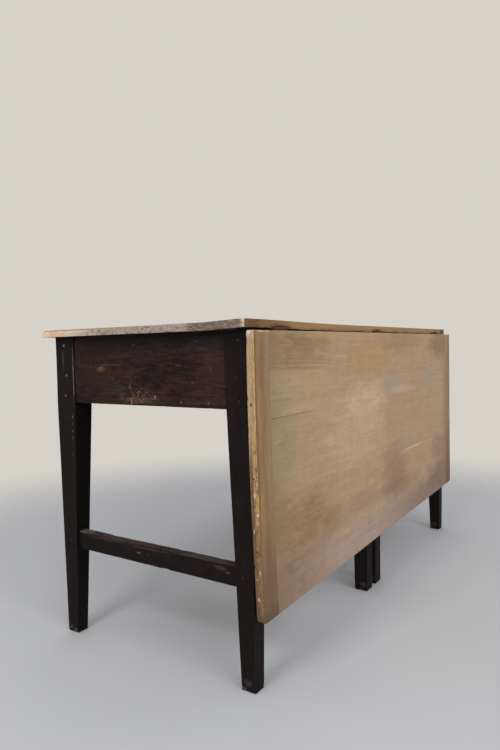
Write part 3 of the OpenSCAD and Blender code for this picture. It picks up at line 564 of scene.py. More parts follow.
def leaf_cleat_wood(name, seed, end_x, face_y, ochre):
    """Cleat of the leaf: streaked, with a darker, chipped end edge that has white
    paint on it. Ochre is how much warmer it is than the boards."""
    shader = Shader(name)
    grain = Grain(
        shader, "zxy", seed, ring_gap=0.010, pith=0.20, lean=0.02, sway=0.03, twisted=True)
    z, x, y = grain.along, grain.across, grain.through
    clouds = shader.noise((z * 6.0, x * 34.0 + seed, y * 34.0), 5.0, 0.62)
    patch = shader.noise((z * 38.0, x * 80.0, y * 110.0 + seed), 5.0, 0.68)
    far = x.math("ABSOLUTE")
    warm = shader.mix(clouds.step(0.32, 0.68), srgb(132, 102, 68), srgb(164, 130, 90))
    plain = shader.mix(clouds.step(0.32, 0.68), srgb(142, 120, 94), srgb(164, 140, 114))
    tone = shader.mix(ochre, plain, warm)
    tone = shader.mix(far.step(end_x - 0.016, end_x - 0.004) * ochre * 0.6, tone, srgb(146, 106, 62))
    faded = (far + (patch - 0.5) * 0.012).step(end_x - 0.028, end_x - 0.052)
    tone = shader.mix(faded * 0.75, tone, srgb(148, 128, 98))
    low = (z + (clouds - 0.5) * 0.20).step(0.42, 0.22)
    tone = shader.mix(low * 0.85, tone, srgb(116, 89, 67))
    tone = shader.shade(tone, 0.76 + grain.streaks * 0.48)
    tone = shader.mix(grain.rings * 0.20, tone, srgb(104, 76, 48))
    wander = z + (patch - 0.5) * 0.05
    crumbs = shader.noise((z * 120.0, x * 160.0, y * 260.0 + seed), 4.0, 0.7)
    chipped = shader.noise((z * 55.0, x * 60.0, y * 200.0 + seed), 5.0, 0.74)
    outer = shader.mix(wander.step(0.44, 0.60), srgb(186, 148, 100), srgb(174, 143, 102))
    outer = shader.mix(wander.step(0.40, 0.31) * 0.85, outer, srgb(134, 106, 70))
    chips = chipped.step(0.46, 0.58) * wander.step(0.56, 0.46)
    outer = shader.mix(chips * 0.85, outer, srgb(98, 72, 44))
    inner = shader.mix(wander.step(0.42, 0.58), srgb(106, 86, 64), srgb(176, 148, 114))
    inward = (y + (patch - 0.5) * 0.010).step(face_y + 0.0082, face_y + 0.0115)
    edge_tone = shader.mix(inward, outer, inner)
    edge_tone = shader.mix(wander.step(0.700, 0.745) * 0.7, edge_tone, srgb(196, 176, 156))
    rough = (patch * 0.5 + crumbs * 0.5).step(0.38, 0.62)
    edge_tone = shader.shade(edge_tone, 0.78 + rough * 0.38)
    nicks = (chipped * 0.5 + crumbs * 0.5).step(0.56, 0.64)
    edge_tone = shader.mix(nicks * 0.6, edge_tone, srgb(84, 62, 40))
    nail = blob(z, y, (0.5945, -0.3038), (0.0034, 0.0028), crumbs * 0.3 + 0.35)
    edge_tone = shader.mix(nail * 0.95, edge_tone, srgb(66, 44, 22))
    tone = shader.mix(far.step(end_x - 0.0022, end_x - 0.0006), tone, edge_tone)
    split = blob(z, far, (0.430, end_x - 0.0085), (0.150, 0.0012), patch)
    tone = shader.mix(split * ochre * 0.6, tone, srgb(112, 80, 46))
    beside = (far - end_x + 0.0042).math("ABSOLUTE").step(0.0030, 0.0010) * (patch * 0.6 + 0.4)
    tone = shader.mix(beside * ochre * 0.9, tone, srgb(118, 80, 42))
    tone = shader.mix(wander.step(0.20, 0.165) * 0.6, tone, srgb(84, 66, 48))
    near = far.step(end_x - 0.008, end_x - 0.001)
    for middle, size, strength in PAINT_SPOTS:
        tone = shader.mix(blob(z, y, middle, size, patch) * near * strength, tone, srgb(220, 200, 180))
    worn = shader.attribute("arris") * chipped.step(0.60, 0.44)
    arris_tone = shader.mix(wander.step(0.34, 0.40), srgb(108, 82, 52), srgb(206, 170, 122))
    tone = shader.mix(worn * 0.85, tone, arris_tone)
    tone = shader.mix(grain.pores * 0.18, tone, srgb(84, 60, 38))
    height = grain.streaks * 0.6 + patch * 0.6 + crumbs * 0.5 - nicks * 0.6 - grain.pores * 0.4
    return shader.finish(tone, 0.58 + clouds * 0.2, height, 0.0005, specular=0.35)


def stained_wood(colours, node, axes, seed, thin, scuffed, marks=(), painted_shade=0.0, flecks=()):
    """Dark stained wood of the frame. Thin is how much reddish wood shows, scuffed
    how pale its arrises and scuffs are. Marks are patches placed along and across the
    grain, and flecks are patches broken up into fine chips of bare wood. The face that
    looks forward can be painted darker by a share: painted shade, for the shadow that
    the table casts on it. The wood just under the top is painted darker too: painted
    shade of the top's overhang."""
    shader = Shader("stained_" + node)
    grain = Grain(shader, axes, seed, ring_gap=0.011, pith=0.09, lean=0.03)
    along, across, through = grain.along, grain.across, grain.through
    clouds = shader.noise((along * 5.0 + seed, across * 13.0, through * 13.0), 5.0, 0.62)
    ragged = shader.noise((along * 70.0, across * 170.0 + seed, through * 170.0), 5.0, 0.72)
    lines = shader.noise((along * 16.0 + seed, across * 260.0, through * 260.0), 4.0, 0.65)
    close = shader.noise((along * 40.0, across * 140.0 + seed, through * 140.0), 5.0, 0.7)
    bare = (clouds * 0.45 + close * 0.55).step(0.38, 0.62) * thin
    tone = shader.mix(bare, tuple(colours.dark), tuple(colours.dark_red))
    tone = shader.shade(tone, 0.30 + lines * 1.4)
    tone = shader.mix(grain.rings * 0.25, tone, srgb(14, 10, 10))
    tone = patched(shader, tone, along, across, marks, ragged)
    if flecks:
        chips = shader.noise((along * 130.0, across * 300.0, through * 300.0 + seed), 3.0, 0.75)
        tone = patched(shader, tone, along, across, flecks, ragged, chips.step(0.53, 0.70))
    rub = shader.noise((along * 40.0, across * 120.0, through * 120.0 + seed), 5.0, 0.7)
    tone = shader.mix(rub.step(0.60, 0.74) * scuffed * 0.5, tone, tuple(colours.scuff))
    nicks = scratches(shader, along, across + through * 0.8, seed, 300.0, 0.12)
    tone = shader.mix(nicks * scuffed * 0.6, tone, tuple(colours.scuff))
    tone = shader.mix(grain.pores * 0.45, tone, srgb(9, 7, 7))
    worn = shader.attribute("arris") * (clouds * 0.6 + ragged * 0.6).step(0.50, 0.78)
    tone = shader.mix(worn * scuffed * 1.4, tone, tuple(colours.scuff))
    # Painted shade: the wood just under the top is darkened, for the shadow that the top's overhang casts
    # on it
    overhang_shade = grain.height.step(0.690, 0.740)
    tone = shader.shade(tone, 1.0 - overhang_shade * 0.7)
    # Painted shade: the face that looks forward is darkened, for the shadow that the table casts on it
    if painted_shade:
        tone = shader.shade(tone, 1.0 - shader.facing(1).step(-0.5, -0.8) * painted_shade)
    height = lines * 0.7 + grain.streaks * 0.3 - grain.pores * 0.4 + rub * 0.5
    return shader.finish(tone, 0.52 + rub * 0.24, height, 0.0004, specular=0.12)


def bare_wood(colours, name, axes, seed):
    """Unstained wood out of sight behind the leaf."""
    shader = Shader(name)
    grain = Grain(shader, axes, seed, ring_gap=0.009, pith=0.30)
    clouds = shader.noise((grain.along * 6.0, grain.across * 20.0 + seed, 0.0), 4.0, 0.6)
    tone = shader.mix(clouds.step(0.35, 0.65), srgb(98, 74, 50), tuple(colours.bare))
    tone = shader.shade(tone, 0.82 + grain.streaks * 0.36)
    tone = shader.mix(grain.rings * 0.25, tone, srgb(70, 48, 30))
    tone = shader.mix(grain.pores * 0.25, tone, srgb(54, 38, 26))
    height = grain.rings * 0.5 + grain.fibres * 0.5
    return shader.finish(tone, 0.72 + clouds * 0.1, height, 0.0004, specular=0.3)


# ---------------------------------------------------------------- metals and pegs


def iron_metal(colours, name):
    """Old dark iron with rust in its hollows."""
    shader = Shader(name)
    x, y, z = shader.place()
    pits = shader.noise((x * 240.0, y * 240.0, z * 240.0), 4.0, 0.65)
    clouds = shader.noise((x * 45.0, y * 45.0, z * 45.0), 3.0, 0.6)
    rusty = clouds.step(0.34, 0.56) * (0.5 + pits * 0.8)
    tone = shader.mix(rusty, tuple(colours.iron), tuple(colours.rust))
    tone = shader.shade(tone, 0.75 + pits * 0.5)
    metallic = 0.60 - rusty * 0.55
    return shader.finish(tone, 0.50 + rusty * 0.4, pits, 0.0005, metallic, specular=0.3)


def steel_metal(colours, name):
    """Dull steel of screws and nails, browned in places."""
    shader = Shader(name)
    x, y, z = shader.place()
    clouds = shader.noise((x * 130.0, y * 130.0, z * 130.0), 3.0, 0.6)
    rusty = clouds.step(0.50, 0.70)
    tone = shader.mix(rusty, tuple(colours.steel), tuple(colours.rust))
    return shader.finish(tone, 0.38 + rusty * 0.4, clouds, 0.0003, 0.9 - rusty * 0.7)


def peg_wood(colours, name):
    """End grain of the whittled pegs: dark like the stain round them, but rubbed
    pale in the left back leg."""
    shader = Shader(name)
    x, y, z = shader.place()
    fine = shader.noise((x * 900.0, y * 900.0, z * 900.0), 2.0, 0.6)
    pale = x.step(-0.60, -0.64) * y.step(0.20, 0.22) * z.step(0.45, 0.50)
    tone = shader.mix(fine.step(0.35, 0.65), srgb(26, 20, 19), srgb(44, 36, 34))
    rubbed = shader.noise((x * 190.0, y * 190.0, z * 190.0), 1.0).step(0.40, 0.58)
    bright = (z.step(0.640, 0.700) * 0.45 + 0.30 + fine * 0.5) * (rubbed * 0.65 + 0.35)
    tone = shader.mix(pale * bright, tone, tuple(colours.peg))
    return shader.finish(tone, 0.66, fine, 0.0004, specular=0.2)


# ---------------------------------------------------------------- worn wood

# The foot of a leg narrows near the floor by this share of its width, over this height,
# and its sole spreads by this share over this height
FOOT_ROUNDING, FOOT_ROUNDING_HEIGHT = 0.08, 0.013
SPLAY, SPLAY_HEIGHT = 0.22, 0.004

# How much higher a stretcher gets for each metre towards the back
STRETCHER_TILT = 0.009

# How high the top's front left corner has curled, and how much its end has worn down
TOP_CURL, END_WEAR = 0.0038, 0.0036


def lattice(ix, iy, iz, seed):
    """A repeatable number from 0 to 1 for each whole-numbered point."""
    wave = np.sin(ix * 127.1 + iy * 311.7 + iz * 74.7 + seed * 53.3) * 43758.5453
    return wave - np.floor(wave)


def lumps(points, sizes, seed):
    """Smooth noise from -1 to 1. Sizes are the lumps' lengths along x, y and z."""
    scaled = points / np.asarray(sizes)
    corner = np.floor(scaled)
    part = scaled - corner
    part = part * part * (3 - 2 * part)
    total = np.zeros(len(points))
    for step in np.ndindex(2, 2, 2):
        share = np.prod(np.where(step, part, 1 - part), axis=1)
        total += share * lattice(*(corner + step).T, seed)
    return 2 * total - 1


def rise(values, start, end):
    """0 at start, 1 at end, smooth between."""
    part = np.clip((values - start) / (end - start), 0, 1)
    return part * part * (3 - 2 * part)


# Distances from a block's edge at which its faces are cut, so that the arris is round
EDGE_CUTS = (0.0, 0.0004, 0.0009, 0.0016, 0.0026, 0.0042, 0.0065)

# The cuts and the rounding reach over at most this share of a block's width
ARRIS_REACH = 0.42

# Faces that meet at a sharper angle than this keep a sharp edge between them
SHARP_ANGLE = math.radians(38)


def cuts(start, end, step):
    """Places where a face is cut: close together at both ends, then a step apart."""
    near = np.array([cut for cut in EDGE_CUTS if cut < (end - start) * ARRIS_REACH])
    first, last = start + near, end - near[::-1]
    count = max(2, round((last[0] - first[-1]) / step) + 1)
    return np.concatenate((first[:-1], np.linspace(first[-1], last[0], count), last[1:]))


def cut_block(places):
    """Points and faces of a closed block that is cut at the given places along each axis."""
    count = [len(p) for p in places]
    quads = []
    for axis in range(3):
        u, v = (axis + 1) % 3, (axis + 2) % 3
        iu, iv = (grid.ravel() for grid in np.mgrid[0:count[u] - 1, 0:count[v] - 1])
        for side in (0, count[axis] - 1):
            corners = []
            for du, dv in ((0, 0), (1, 0), (1, 1), (0, 1)):
                index = [None] * 3
                index[axis], index[u], index[v] = np.full(iu.size, side), iu + du, iv + dv
                corners.append((index[0] * count[1] + index[1]) * count[2] + index[2])
            quad = np.stack(corners, 1)
            quads.append(quad if side else quad[:, ::-1])
    used, faces = np.unique(np.concatenate(quads), return_inverse=True)
    index = (used // (count[1] * count[2]), used // count[2] % count[1], used % count[2])
    points = np.stack([places[axis][index[axis]] for axis in range(3)], 1)
    return points, faces.reshape(-1, 4)


def wear_of(points, along, seed):
    """How much more than usual each point of an arris is worn, with chips here and there."""
    long = np.full(3, 0.02)
    long[along] = 0.11
    short = np.full(3, 0.007)
    short[along] = 0.016
    knocks = rise(lumps(points, short, seed + 5), 0.52, 0.86)
    return np.maximum(0.75 + 0.55 * lumps(points, long, seed), 0.45) + 2.2 * knocks


def worn_block(low, high, steps, radii, along, seed, wear):
    """A block with rounded, chipped arrises, plane marks, raised grain and dents.
    Radii holds the rounding at the low and at the high side of each axis."""
    points, faces = cut_block([cuts(low[i], high[i], steps[i]) for i in range(3)])
    factor = wear_of(points, along, seed)[:, None, None]
    room = (high - low) * ARRIS_REACH
    free = radii > wear.joint_arris * 1.01
    rounding = np.minimum(np.where(free, radii * factor, radii), room)
    inner = np.clip(points, low + rounding[:, 0], high - rounding[:, 1])
    side = np.where(points < (low + high) / 2, rounding[:, 0], rounding[:, 1])
    way = (points - inner) / side
    way /= np.linalg.norm(way, axis=1)[:, None]
    arris = rise(1 - np.abs(way).max(axis=1), 0.0, 0.20)
    moved = inner + way * side
    wide = np.full(3, 0.055)
    wide[along] = 0.30
    thin = np.full(3, 0.0045)
    thin[along] = 0.16
    spot = np.full(3, 0.018)
    gaps = np.stack((points - low, high - points), 1)
    from_joint = np.where(free, 1.0, gaps).min(axis=(1, 2))
    from_arris = np.sort(gaps.min(axis=1), axis=1)[:, 1]
    marks = (
        wear.plane_marks * (0.5 + 0.5 * lumps(points, wide, seed + 1))
        + wear.grain_relief * (0.5 + 0.5 * lumps(points, thin, seed + 2))
        + wear.dents * rise(lumps(points, spot, seed + 3), 0.66, 0.95) * rise(from_arris, 0.002, 0.009)
    )
    depth = wear.skin * (0.4 + 0.6 * rise(from_joint, 0.0, 0.002)) + marks * rise(from_joint, 0.0, 0.008)
    return moved - way * depth[:, None], faces, arris


def add_object(name, data):
    """A new object, put into the scene."""
    made = bpy.data.objects.new(name, data)
    bpy.context.scene.collection.objects.link(made)
    return made


def new_piece(name, points, faces, arris=None):
    """A piece from its points and faces. Arris is how far each point is on an arris."""
    mesh = bpy.data.meshes.new(name)
    mesh.from_pydata(points.tolist(), [], faces.tolist())
    if arris is not None:
        worn = mesh.attributes.new("arris", "FLOAT", "POINT")
        worn.data.foreach_set("value", arris.astype(np.float32))
    return add_object(name, mesh)


def evaluated(piece):
    """The piece's mesh with its modifiers applied, as a new mesh."""
    bpy.context.view_layer.update()
    ready = piece.evaluated_get(bpy.context.evaluated_depsgraph_get())
    return bpy.data.meshes.new_from_object(ready)


def volume(mesh):
    shell = bmesh.new()
    shell.from_mesh(mesh)
    amount = shell.calc_volume()
    shell.free()
    return amount


def solid_copy(node):
    """A merged copy of a CAD node's mesh."""
    copy = add_object(node + "_copy", frame["nodes"][node].data.copy())
    copy.data.materials.clear()
    shell = bmesh.new()
    shell.from_mesh(copy.data)
    bmesh.ops.remove_doubles(shell, verts=shell.verts, dist=1e-6)
    shell.to_mesh(copy.data)
    shell.free()
    return copy


# The least share of a node's volume that a piece keeps when its joinery is cut
LEAST_LEFT = 0.9


def cut_joinery(piece, node):
    """Gives a worn block the tenons, mortises, holes and recesses of its CAD node."""
    copy = solid_copy(node)
    joinery = piece.modifiers.new("joinery", "BOOLEAN")
    joinery.operation = "INTERSECT"
    joinery.solver = "EXACT"
    joinery.object = copy
    whole = volume(copy.data)
    for crossing in (False, True):
        joinery.use_self = crossing
        mesh = evaluated(piece)
        if volume(mesh) > whole * LEAST_LEFT:
            break
    else:
        raise RuntimeError(f"too little is left of {piece.name} after its joinery is cut")
    piece.modifiers.remove(joinery)
    piece.data = mesh
    bpy.data.objects.remove(copy)


def dress(piece, nodes, material):
    """Puts a finished piece in place of its CAD nodes."""
    piece.data.materials.clear()
    piece.data.materials.append(material)
    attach(piece, BODY_OF[nodes[0]])
    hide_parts(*nodes)


def worn_wood(node, axes, free, arris, seed, material, steps=None, shape=None, round_at=None):
    """Makes the worn piece of one CAD node. Axes starts with the grain's axis. Free
    lists the faces whose edges are open to wear, such as 'x-' and 'z+'."""
    wear = bpy.context.scene.table_wear
    low, high = (np.array(corner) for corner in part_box(node))
    along = "xyz".index(axes[0])
    if steps is None:
        steps = np.full(3, 0.0035)
        steps[along] = 0.009
    radii = np.full((2, 3), wear.joint_arris)
    for face in free.split():
        radii["-+".index(face[1]), "xyz".index(face[0])] = (round_at or {}).get(face, arris)
    points, faces, worn = worn_block(low, high, steps, radii, along, seed, wear)
    if shape is not None:
        points = shape(points)
    piece = new_piece("worn_" + node, points, faces, worn)
    cut_joinery(piece, node)
    piece.data.shade_smooth()
    piece.data.set_sharp_from_angle(angle=SHARP_ANGLE)
    dress(piece, [node], material)
    return piece


def places_of(mesh):
    """The places of a mesh's vertices, one row for each."""
    places = np.empty(len(mesh.vertices) * 3)
    mesh.vertices.foreach_get("co", places)
    return places.reshape(-1, 3)


# Corners of a leg that are closer than this in height are at the same level
SAME_LEVEL = 0.0012


def tapered(node):
    """A shape that narrows a straight block as a leg's CAD node does from apron to foot,
    and rounds off the foot."""
    corners = places_of(frame["nodes"][node].data)
    low, high = corners.min(0), corners.max(0)
    bevel_z = np.unique(np.round(corners[:, 2], 4))[1]
    heights = (bevel_z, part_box("end_apron_left")[0].z)
    levels = [corners[np.abs(corners[:, 2] - height) < SAME_LEVEL] for height in heights]

    def shape(points):
        result = points.copy()
        near_floor = np.clip(1 - points[:, 2] / FOOT_ROUNDING_HEIGHT, 0, 1)
        for axis in (0, 1):
            start = np.interp(points[:, 2], heights, [level[:, axis].min() for level in levels])
            end = np.interp(points[:, 2], heights, [level[:, axis].max() for level in levels])
            share = (points[:, axis] - low[axis]) / (high[axis] - low[axis])
            share += (0.5 - share) * FOOT_ROUNDING * near_floor ** 2
            result[:, axis] = start + share * (end - start)
        return result

    return shape


def warp(piece, bend):
    """Moves a piece's vertices. Bend changes their x, y and z in place."""
    places = places_of(piece.data)
    bend(*places.T)
    piece.data.vertices.foreach_set("co", places.ravel())
    piece.data.update()


def twist_leaf(x, y, z):
    """Moves points of the leaf to where the twist puts them."""
    share = twist_share(x, np.clip((TWIST_TOP - z) / TWIST_DROP, 0, 1))
    x += TWIST_IN * share
    y -= TWIST_OUT * share


def splay_foot(x, y, z):
    """Spreads the foot of a leg a little, as the floor has worn it."""
    foot = z < SPLAY_HEIGHT
    for places in (x, y):
        middle = (places[foot].min() + places[foot].max()) / 2
        places[foot] += (places[foot] - middle) * SPLAY * (1 - z[foot] / SPLAY_HEIGHT)


def tilt_stretcher(x, y, z):
    """Tilts a stretcher a little, as its mortises were cut, lower in front."""
    z += STRETCHER_TILT * y


def curl_top(x, y, z):
    """Curls up the front left corner of the top, as its front board has warped."""
    z += TOP_CURL * rise(-x, 0.25, 0.690) * rise(-y, 0.17, 0.295)


def worn_end(points):
    """The upper arris of the top's left end, scrubbed away behind the middle."""
    result = points.copy()
    near = rise(-points[:, 0], 0.673, 0.685)
    rear = rise(points[:, 1], -0.10, 0.03)
    result[:, 2] -= END_WEAR * near * rear * rise(points[:, 2], 0.750, 0.760)
    return result


def tapered_leg(node, seed, material):
    """Makes the worn piece of a leg."""
    wear = bpy.context.scene.table_wear
    leg = worn_wood(
        node, "zyx", "x- x+ y- y+ z-", wear.frame_arris, seed, material,
        shape=tapered(node), round_at={"z-": wear.foot_arris})
    warp(leg, splay_foot)


# ---------------------------------------------------------------- operators

SIDES = ("left", "right")

# Marks on the feet, placed in z and y
FOOT_MARKS = (
    ((0.019, -0.266), (0.0085, 0.010), srgb(70, 68, 72), 0.50),
    ((0.005, -0.257), (0.0035, 0.007), srgb(82, 74, 68), 0.60),
    ((0.007, 0.254), (0.0045, 0.006), srgb(112, 98, 90), 0.70),
    ((0.012, 0.268), (0.0060, 0.004), srgb(96, 84, 78), 0.60),
)

# Marks on the left back leg, whose inner arris is worn. The first of its own marks, a
# long thin pale line down that arris, is a painted highlight where the worn, rounded
# arris catches the light.
LEG_MARKS_AND_HIGHLIGHT = FOOT_MARKS + (
    ((0.655, 0.2225), (0.080, 0.0022), srgb(104, 92, 98), 0.75),
    ((0.690, 0.258), (0.030, 0.0030), srgb(84, 74, 76), 0.50),
    ((0.546, 0.2315), (0.0050, 0.0016), srgb(128, 114, 108), 0.75),
    ((0.529, 0.2320), (0.0030, 0.0013), srgb(110, 98, 94), 0.70),
    ((0.512, 0.2330), (0.0040, 0.0014), srgb(118, 104, 98), 0.70),
    ((0.494, 0.2335), (0.0040, 0.0012), srgb(104, 92, 88), 0.65),
    ((0.455, 0.2345), (0.0050, 0.0012), srgb(92, 80, 76), 0.55),
)


class TABLE_OT_corner_legs(bpy.types.Operator):
    """Make the four tapered corner legs"""

    bl_idname = "table.corner_legs"
    bl_label = "Corner legs"

    def execute(self, context):
        colours = context.scene.table_colours
        for number, place in enumerate(("front_left", "front_right", "back_left", "back_right")):
            node = "leg_" + place
            marks = LEG_MARKS_AND_HIGHLIGHT if place == "back_left" else FOOT_MARKS
            # The back legs' forward faces get painted shade, for the table's shadow on them
            painted_shade = 0.55 if "back" in place else 0.0
            material = stained_wood(colours, node, "zyx", 3.1 + number, 0.10, 0.26, marks, painted_shade)
            tapered_leg(node, 11 + number * 7, material)
        return {"FINISHED"}


# Scuffs and faded patches of the left end apron, in y and z
APRON_MARKS = (
    ((0.165, 0.650), (0.065, 0.085), srgb(32, 23, 21), 0.60),
    ((-0.200, 0.662), (0.040, 0.050), srgb(62, 42, 40), 0.50),
    ((-0.195, 0.718), (0.050, 0.014), srgb(44, 37, 39), 0.65),
    ((0.110, 0.715), (0.075, 0.020), srgb(36, 23, 21), 0.70),
    ((0.000, 0.692), (0.060, 0.016), srgb(34, 28, 28), 0.50),
    ((0.080, 0.618), (0.030, 0.020), srgb(50, 44, 45), 0.50),
    ((0.012, 0.594), (0.060, 0.008), srgb(84, 62, 52), 0.75),
    ((-0.160, 0.592), (0.050, 0.004), srgb(66, 49, 45), 0.60),
    ((0.129, 0.663), (0.013, 0.007), srgb(98, 66, 44), 0.75),
    ((0.127, 0.667), (0.005, 0.0022), srgb(108, 88, 74), 0.80),
    ((0.100, 0.6725), (0.045, 0.0014), srgb(80, 66, 64), 0.70),
    ((0.023, 0.718), (0.0024, 0.0032), srgb(90, 76, 72), 0.70),
    ((-0.161, 0.722), (0.006, 0.0024), srgb(74, 63, 60), 0.70),
    ((-0.110, 0.671), (0.009, 0.0020), srgb(74, 57, 47), 0.75),
    ((-0.194, 0.663), (0.005, 0.0050), srgb(78, 48, 40), 0.60),
    ((0.037, 0.623), (0.0030, 0.0050), srgb(112, 96, 92), 0.80),
    ((0.033, 0.612), (0.0016, 0.0050), srgb(100, 84, 80), 0.70),
    ((0.032, 0.590), (0.0018, 0.0070), srgb(150, 126, 112), 0.90),
    ((0.012, 0.606), (0.0016, 0.0080), srgb(100, 84, 80), 0.75),
    ((0.020, 0.600), (0.0050, 0.0014), srgb(92, 76, 72), 0.70),
    ((-0.039, 0.602), (0.0024, 0.0045), srgb(128, 108, 102), 0.85),
    ((-0.034, 0.597), (0.0080, 0.0016), srgb(108, 90, 84), 0.75),
    ((-0.014, 0.598), (0.0120, 0.0012), srgb(88, 74, 70), 0.70),
    ((-0.145, 0.635), (0.0028, 0.0016), srgb(84, 73, 71), 0.75),
    ((-0.124, 0.645), (0.0040, 0.0012), srgb(86, 75, 73), 0.75),
    ((-0.113, 0.592), (0.0018, 0.0030), srgb(122, 104, 100), 0.80),
    ((-0.186, 0.592), (0.0026, 0.0030), srgb(104, 84, 80), 0.75),
)

# Where fine chips of the left end apron show bare wood
APRON_FLECKS = (
    ((0.012, 0.603), (0.064, 0.019), srgb(140, 108, 84), 0.75),
    ((0.148, 0.6680), (0.060, 0.0036), srgb(112, 82, 60), 0.75),
    ((-0.080, 0.6730), (0.032, 0.0036), srgb(108, 80, 60), 0.75),
    ((0.020, 0.643), (0.030, 0.026), srgb(92, 80, 78), 0.40),
    ((-0.150, 0.610), (0.055, 0.014), srgb(92, 70, 62), 0.45),
    ((0.105, 0.640), (0.040, 0.020), srgb(86, 62, 52), 0.40),
)


class TABLE_OT_aprons(bpy.types.Operator):
    """Make the end aprons and the back apron"""

    bl_idname = "table.aprons"
    bl_label = "Aprons"

    def execute(self, context):
        wear, colours = context.scene.table_wear, context.scene.table_colours
        for number, side in enumerate(SIDES):
            node = "end_apron_" + side
            marks, flecks = (APRON_MARKS, APRON_FLECKS) if side == "left" else ((), ())
            material = stained_wood(
                colours, node, "yzx", 21.7 + number, 0.85, 0.35, marks, flecks=flecks)
            worn_wood(
                node, "yzx", "x- x+ z-", wear.frame_arris * 0.8, 51 + number * 5, material)
        material = stained_wood(colours, "back_apron", "xzy", 31.3, 0.30, 0.30)
        worn_wood("back_apron", "xzy", "y- y+ z-", wear.frame_arris * 0.8, 71, material)
        return {"FINISHED"}


# Scuffs and faded patches of the stretchers, in y and z. The first, a thin pale line
# along the top edge, is a painted highlight where the rounded top arris catches the light.
STRETCHER_MARKS_AND_HIGHLIGHT = (
    ((0.225, 0.2610), (0.045, 0.0026), srgb(112, 102, 100), 0.70),
    ((0.060, 0.2595), (0.140, 0.0032), srgb(76, 52, 50), 0.65),
    ((-0.160, 0.2575), (0.090, 0.0022), srgb(84, 74, 72), 0.60),
    ((0.130, 0.254), (0.060, 0.0040), srgb(66, 50, 49), 0.60),
    ((0.000, 0.253), (0.070, 0.0035), srgb(72, 50, 48), 0.65),
    ((-0.200, 0.246), (0.020, 0.0050), srgb(66, 60, 60), 0.65),
    ((0.032, 0.239), (0.0070, 0.0024), srgb(112, 100, 98), 0.80),
    ((0.006, 0.238), (0.0030, 0.0022), srgb(94, 85, 82), 0.70),
    ((-0.220, 0.239), (0.0060, 0.0022), srgb(104, 94, 92), 0.70),
)


class TABLE_OT_stretchers(bpy.types.Operator):
    """Make the two low end stretchers"""

    bl_idname = "table.stretchers"
    bl_label = "Stretchers"

    def execute(self, context):
        wear, colours = context.scene.table_wear, context.scene.table_colours
        for number, side in enumerate(SIDES):
            node = "end_stretcher_" + side
            material = stained_wood(
                colours, node, "yzx", 41.9 + number, 0.10, 0.28, STRETCHER_MARKS_AND_HIGHLIGHT)
            stretcher = worn_wood(
                node, "yzx", "x- x+ z- z+", wear.frame_arris * 1.6, 81 + number * 5, material)
            warp(stretcher, tilt_stretcher)
        return {"FINISHED"}


class TABLE_OT_gates(bpy.types.Operator):
    """Make the swing legs, the rails that carry them and the inner rail"""

    bl_idname = "table.gates"
    bl_label = "Swing legs and rails"

    def execute(self, context):
        wear, colours = context.scene.table_wear, context.scene.table_colours
        for number, side in enumerate(SIDES):
            node = "swing_leg_" + side
            material = stained_wood(colours, node, "zyx", 61.3 + number, 0.10, 0.22, FOOT_MARKS)
            tapered_leg(node, 91 + number * 5, material)
            for kind in ("fly_rail_", "outer_rail_"):
                node = kind + side
                material = stained_wood(colours, node, "xzy", 71.3 + number, 0.30, 0.25)
                worn_wood(
                    node, "xzy", "y- y+ z-", wear.frame_arris * 0.5, 101 + number * 5, material)
        material = bare_wood(colours, "bare_inner_rail", "xzy", 81.3)
        worn_wood(
            "inner_front_rail", "xzy", "y- y+ z-", wear.frame_arris * 0.6, 121, material)
        return {"FINISHED"}


class TABLE_OT_top(bpy.types.Operator):
    """Make the boards, cleats and back strip of the top"""

    bl_idname = "table.top"
    bl_label = "Top"

    def execute(self, context):
        wear, colours = context.scene.table_wear, context.scene.table_colours
        end_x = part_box("top_cleat_right")[1].x
        steps = np.array((0.009, 0.0026, 0.0035))
        free = {"front": "y- z- z+", "middle": "z- z+", "rear": "z- z+"}
        for number, (place, faces) in enumerate(free.items()):
            node = "top_board_" + place
            material = top_wood(colours, "scrubbed_" + node, 5.3 + number * 2.7)
            board = worn_wood(
                node, "xyz", faces, wear.board_arris, 141 + number * 5, material,
                steps)
            if place == "front":
                warp(board, curl_top)
        material = back_strip_wood("scrubbed_back_strip", 15.1, end_x)
        worn_wood(
            "top_back_strip", "xyz", "x- x+ y+ z- z+", wear.board_arris, 161, material,
            steps, shape=worn_end)
        for number, (side, outer) in enumerate(zip(SIDES, ("x-", "x+"))):
            node = "top_cleat_" + side
            material = top_cleat_wood(colours, "weathered_" + node, 17.9 + number, end_x)
            cleat = worn_wood(
                node, "yxz", outer + " y- z- z+", wear.board_arris, 171 + number * 5, material,
                np.array((0.0026, 0.006, 0.0028)), shape=worn_end)
            if side == "left":
                warp(cleat, curl_top)
        return {"FINISHED"}


# Corners that are closer than this along x are at the same end
SAME_PLACE = 0.0002


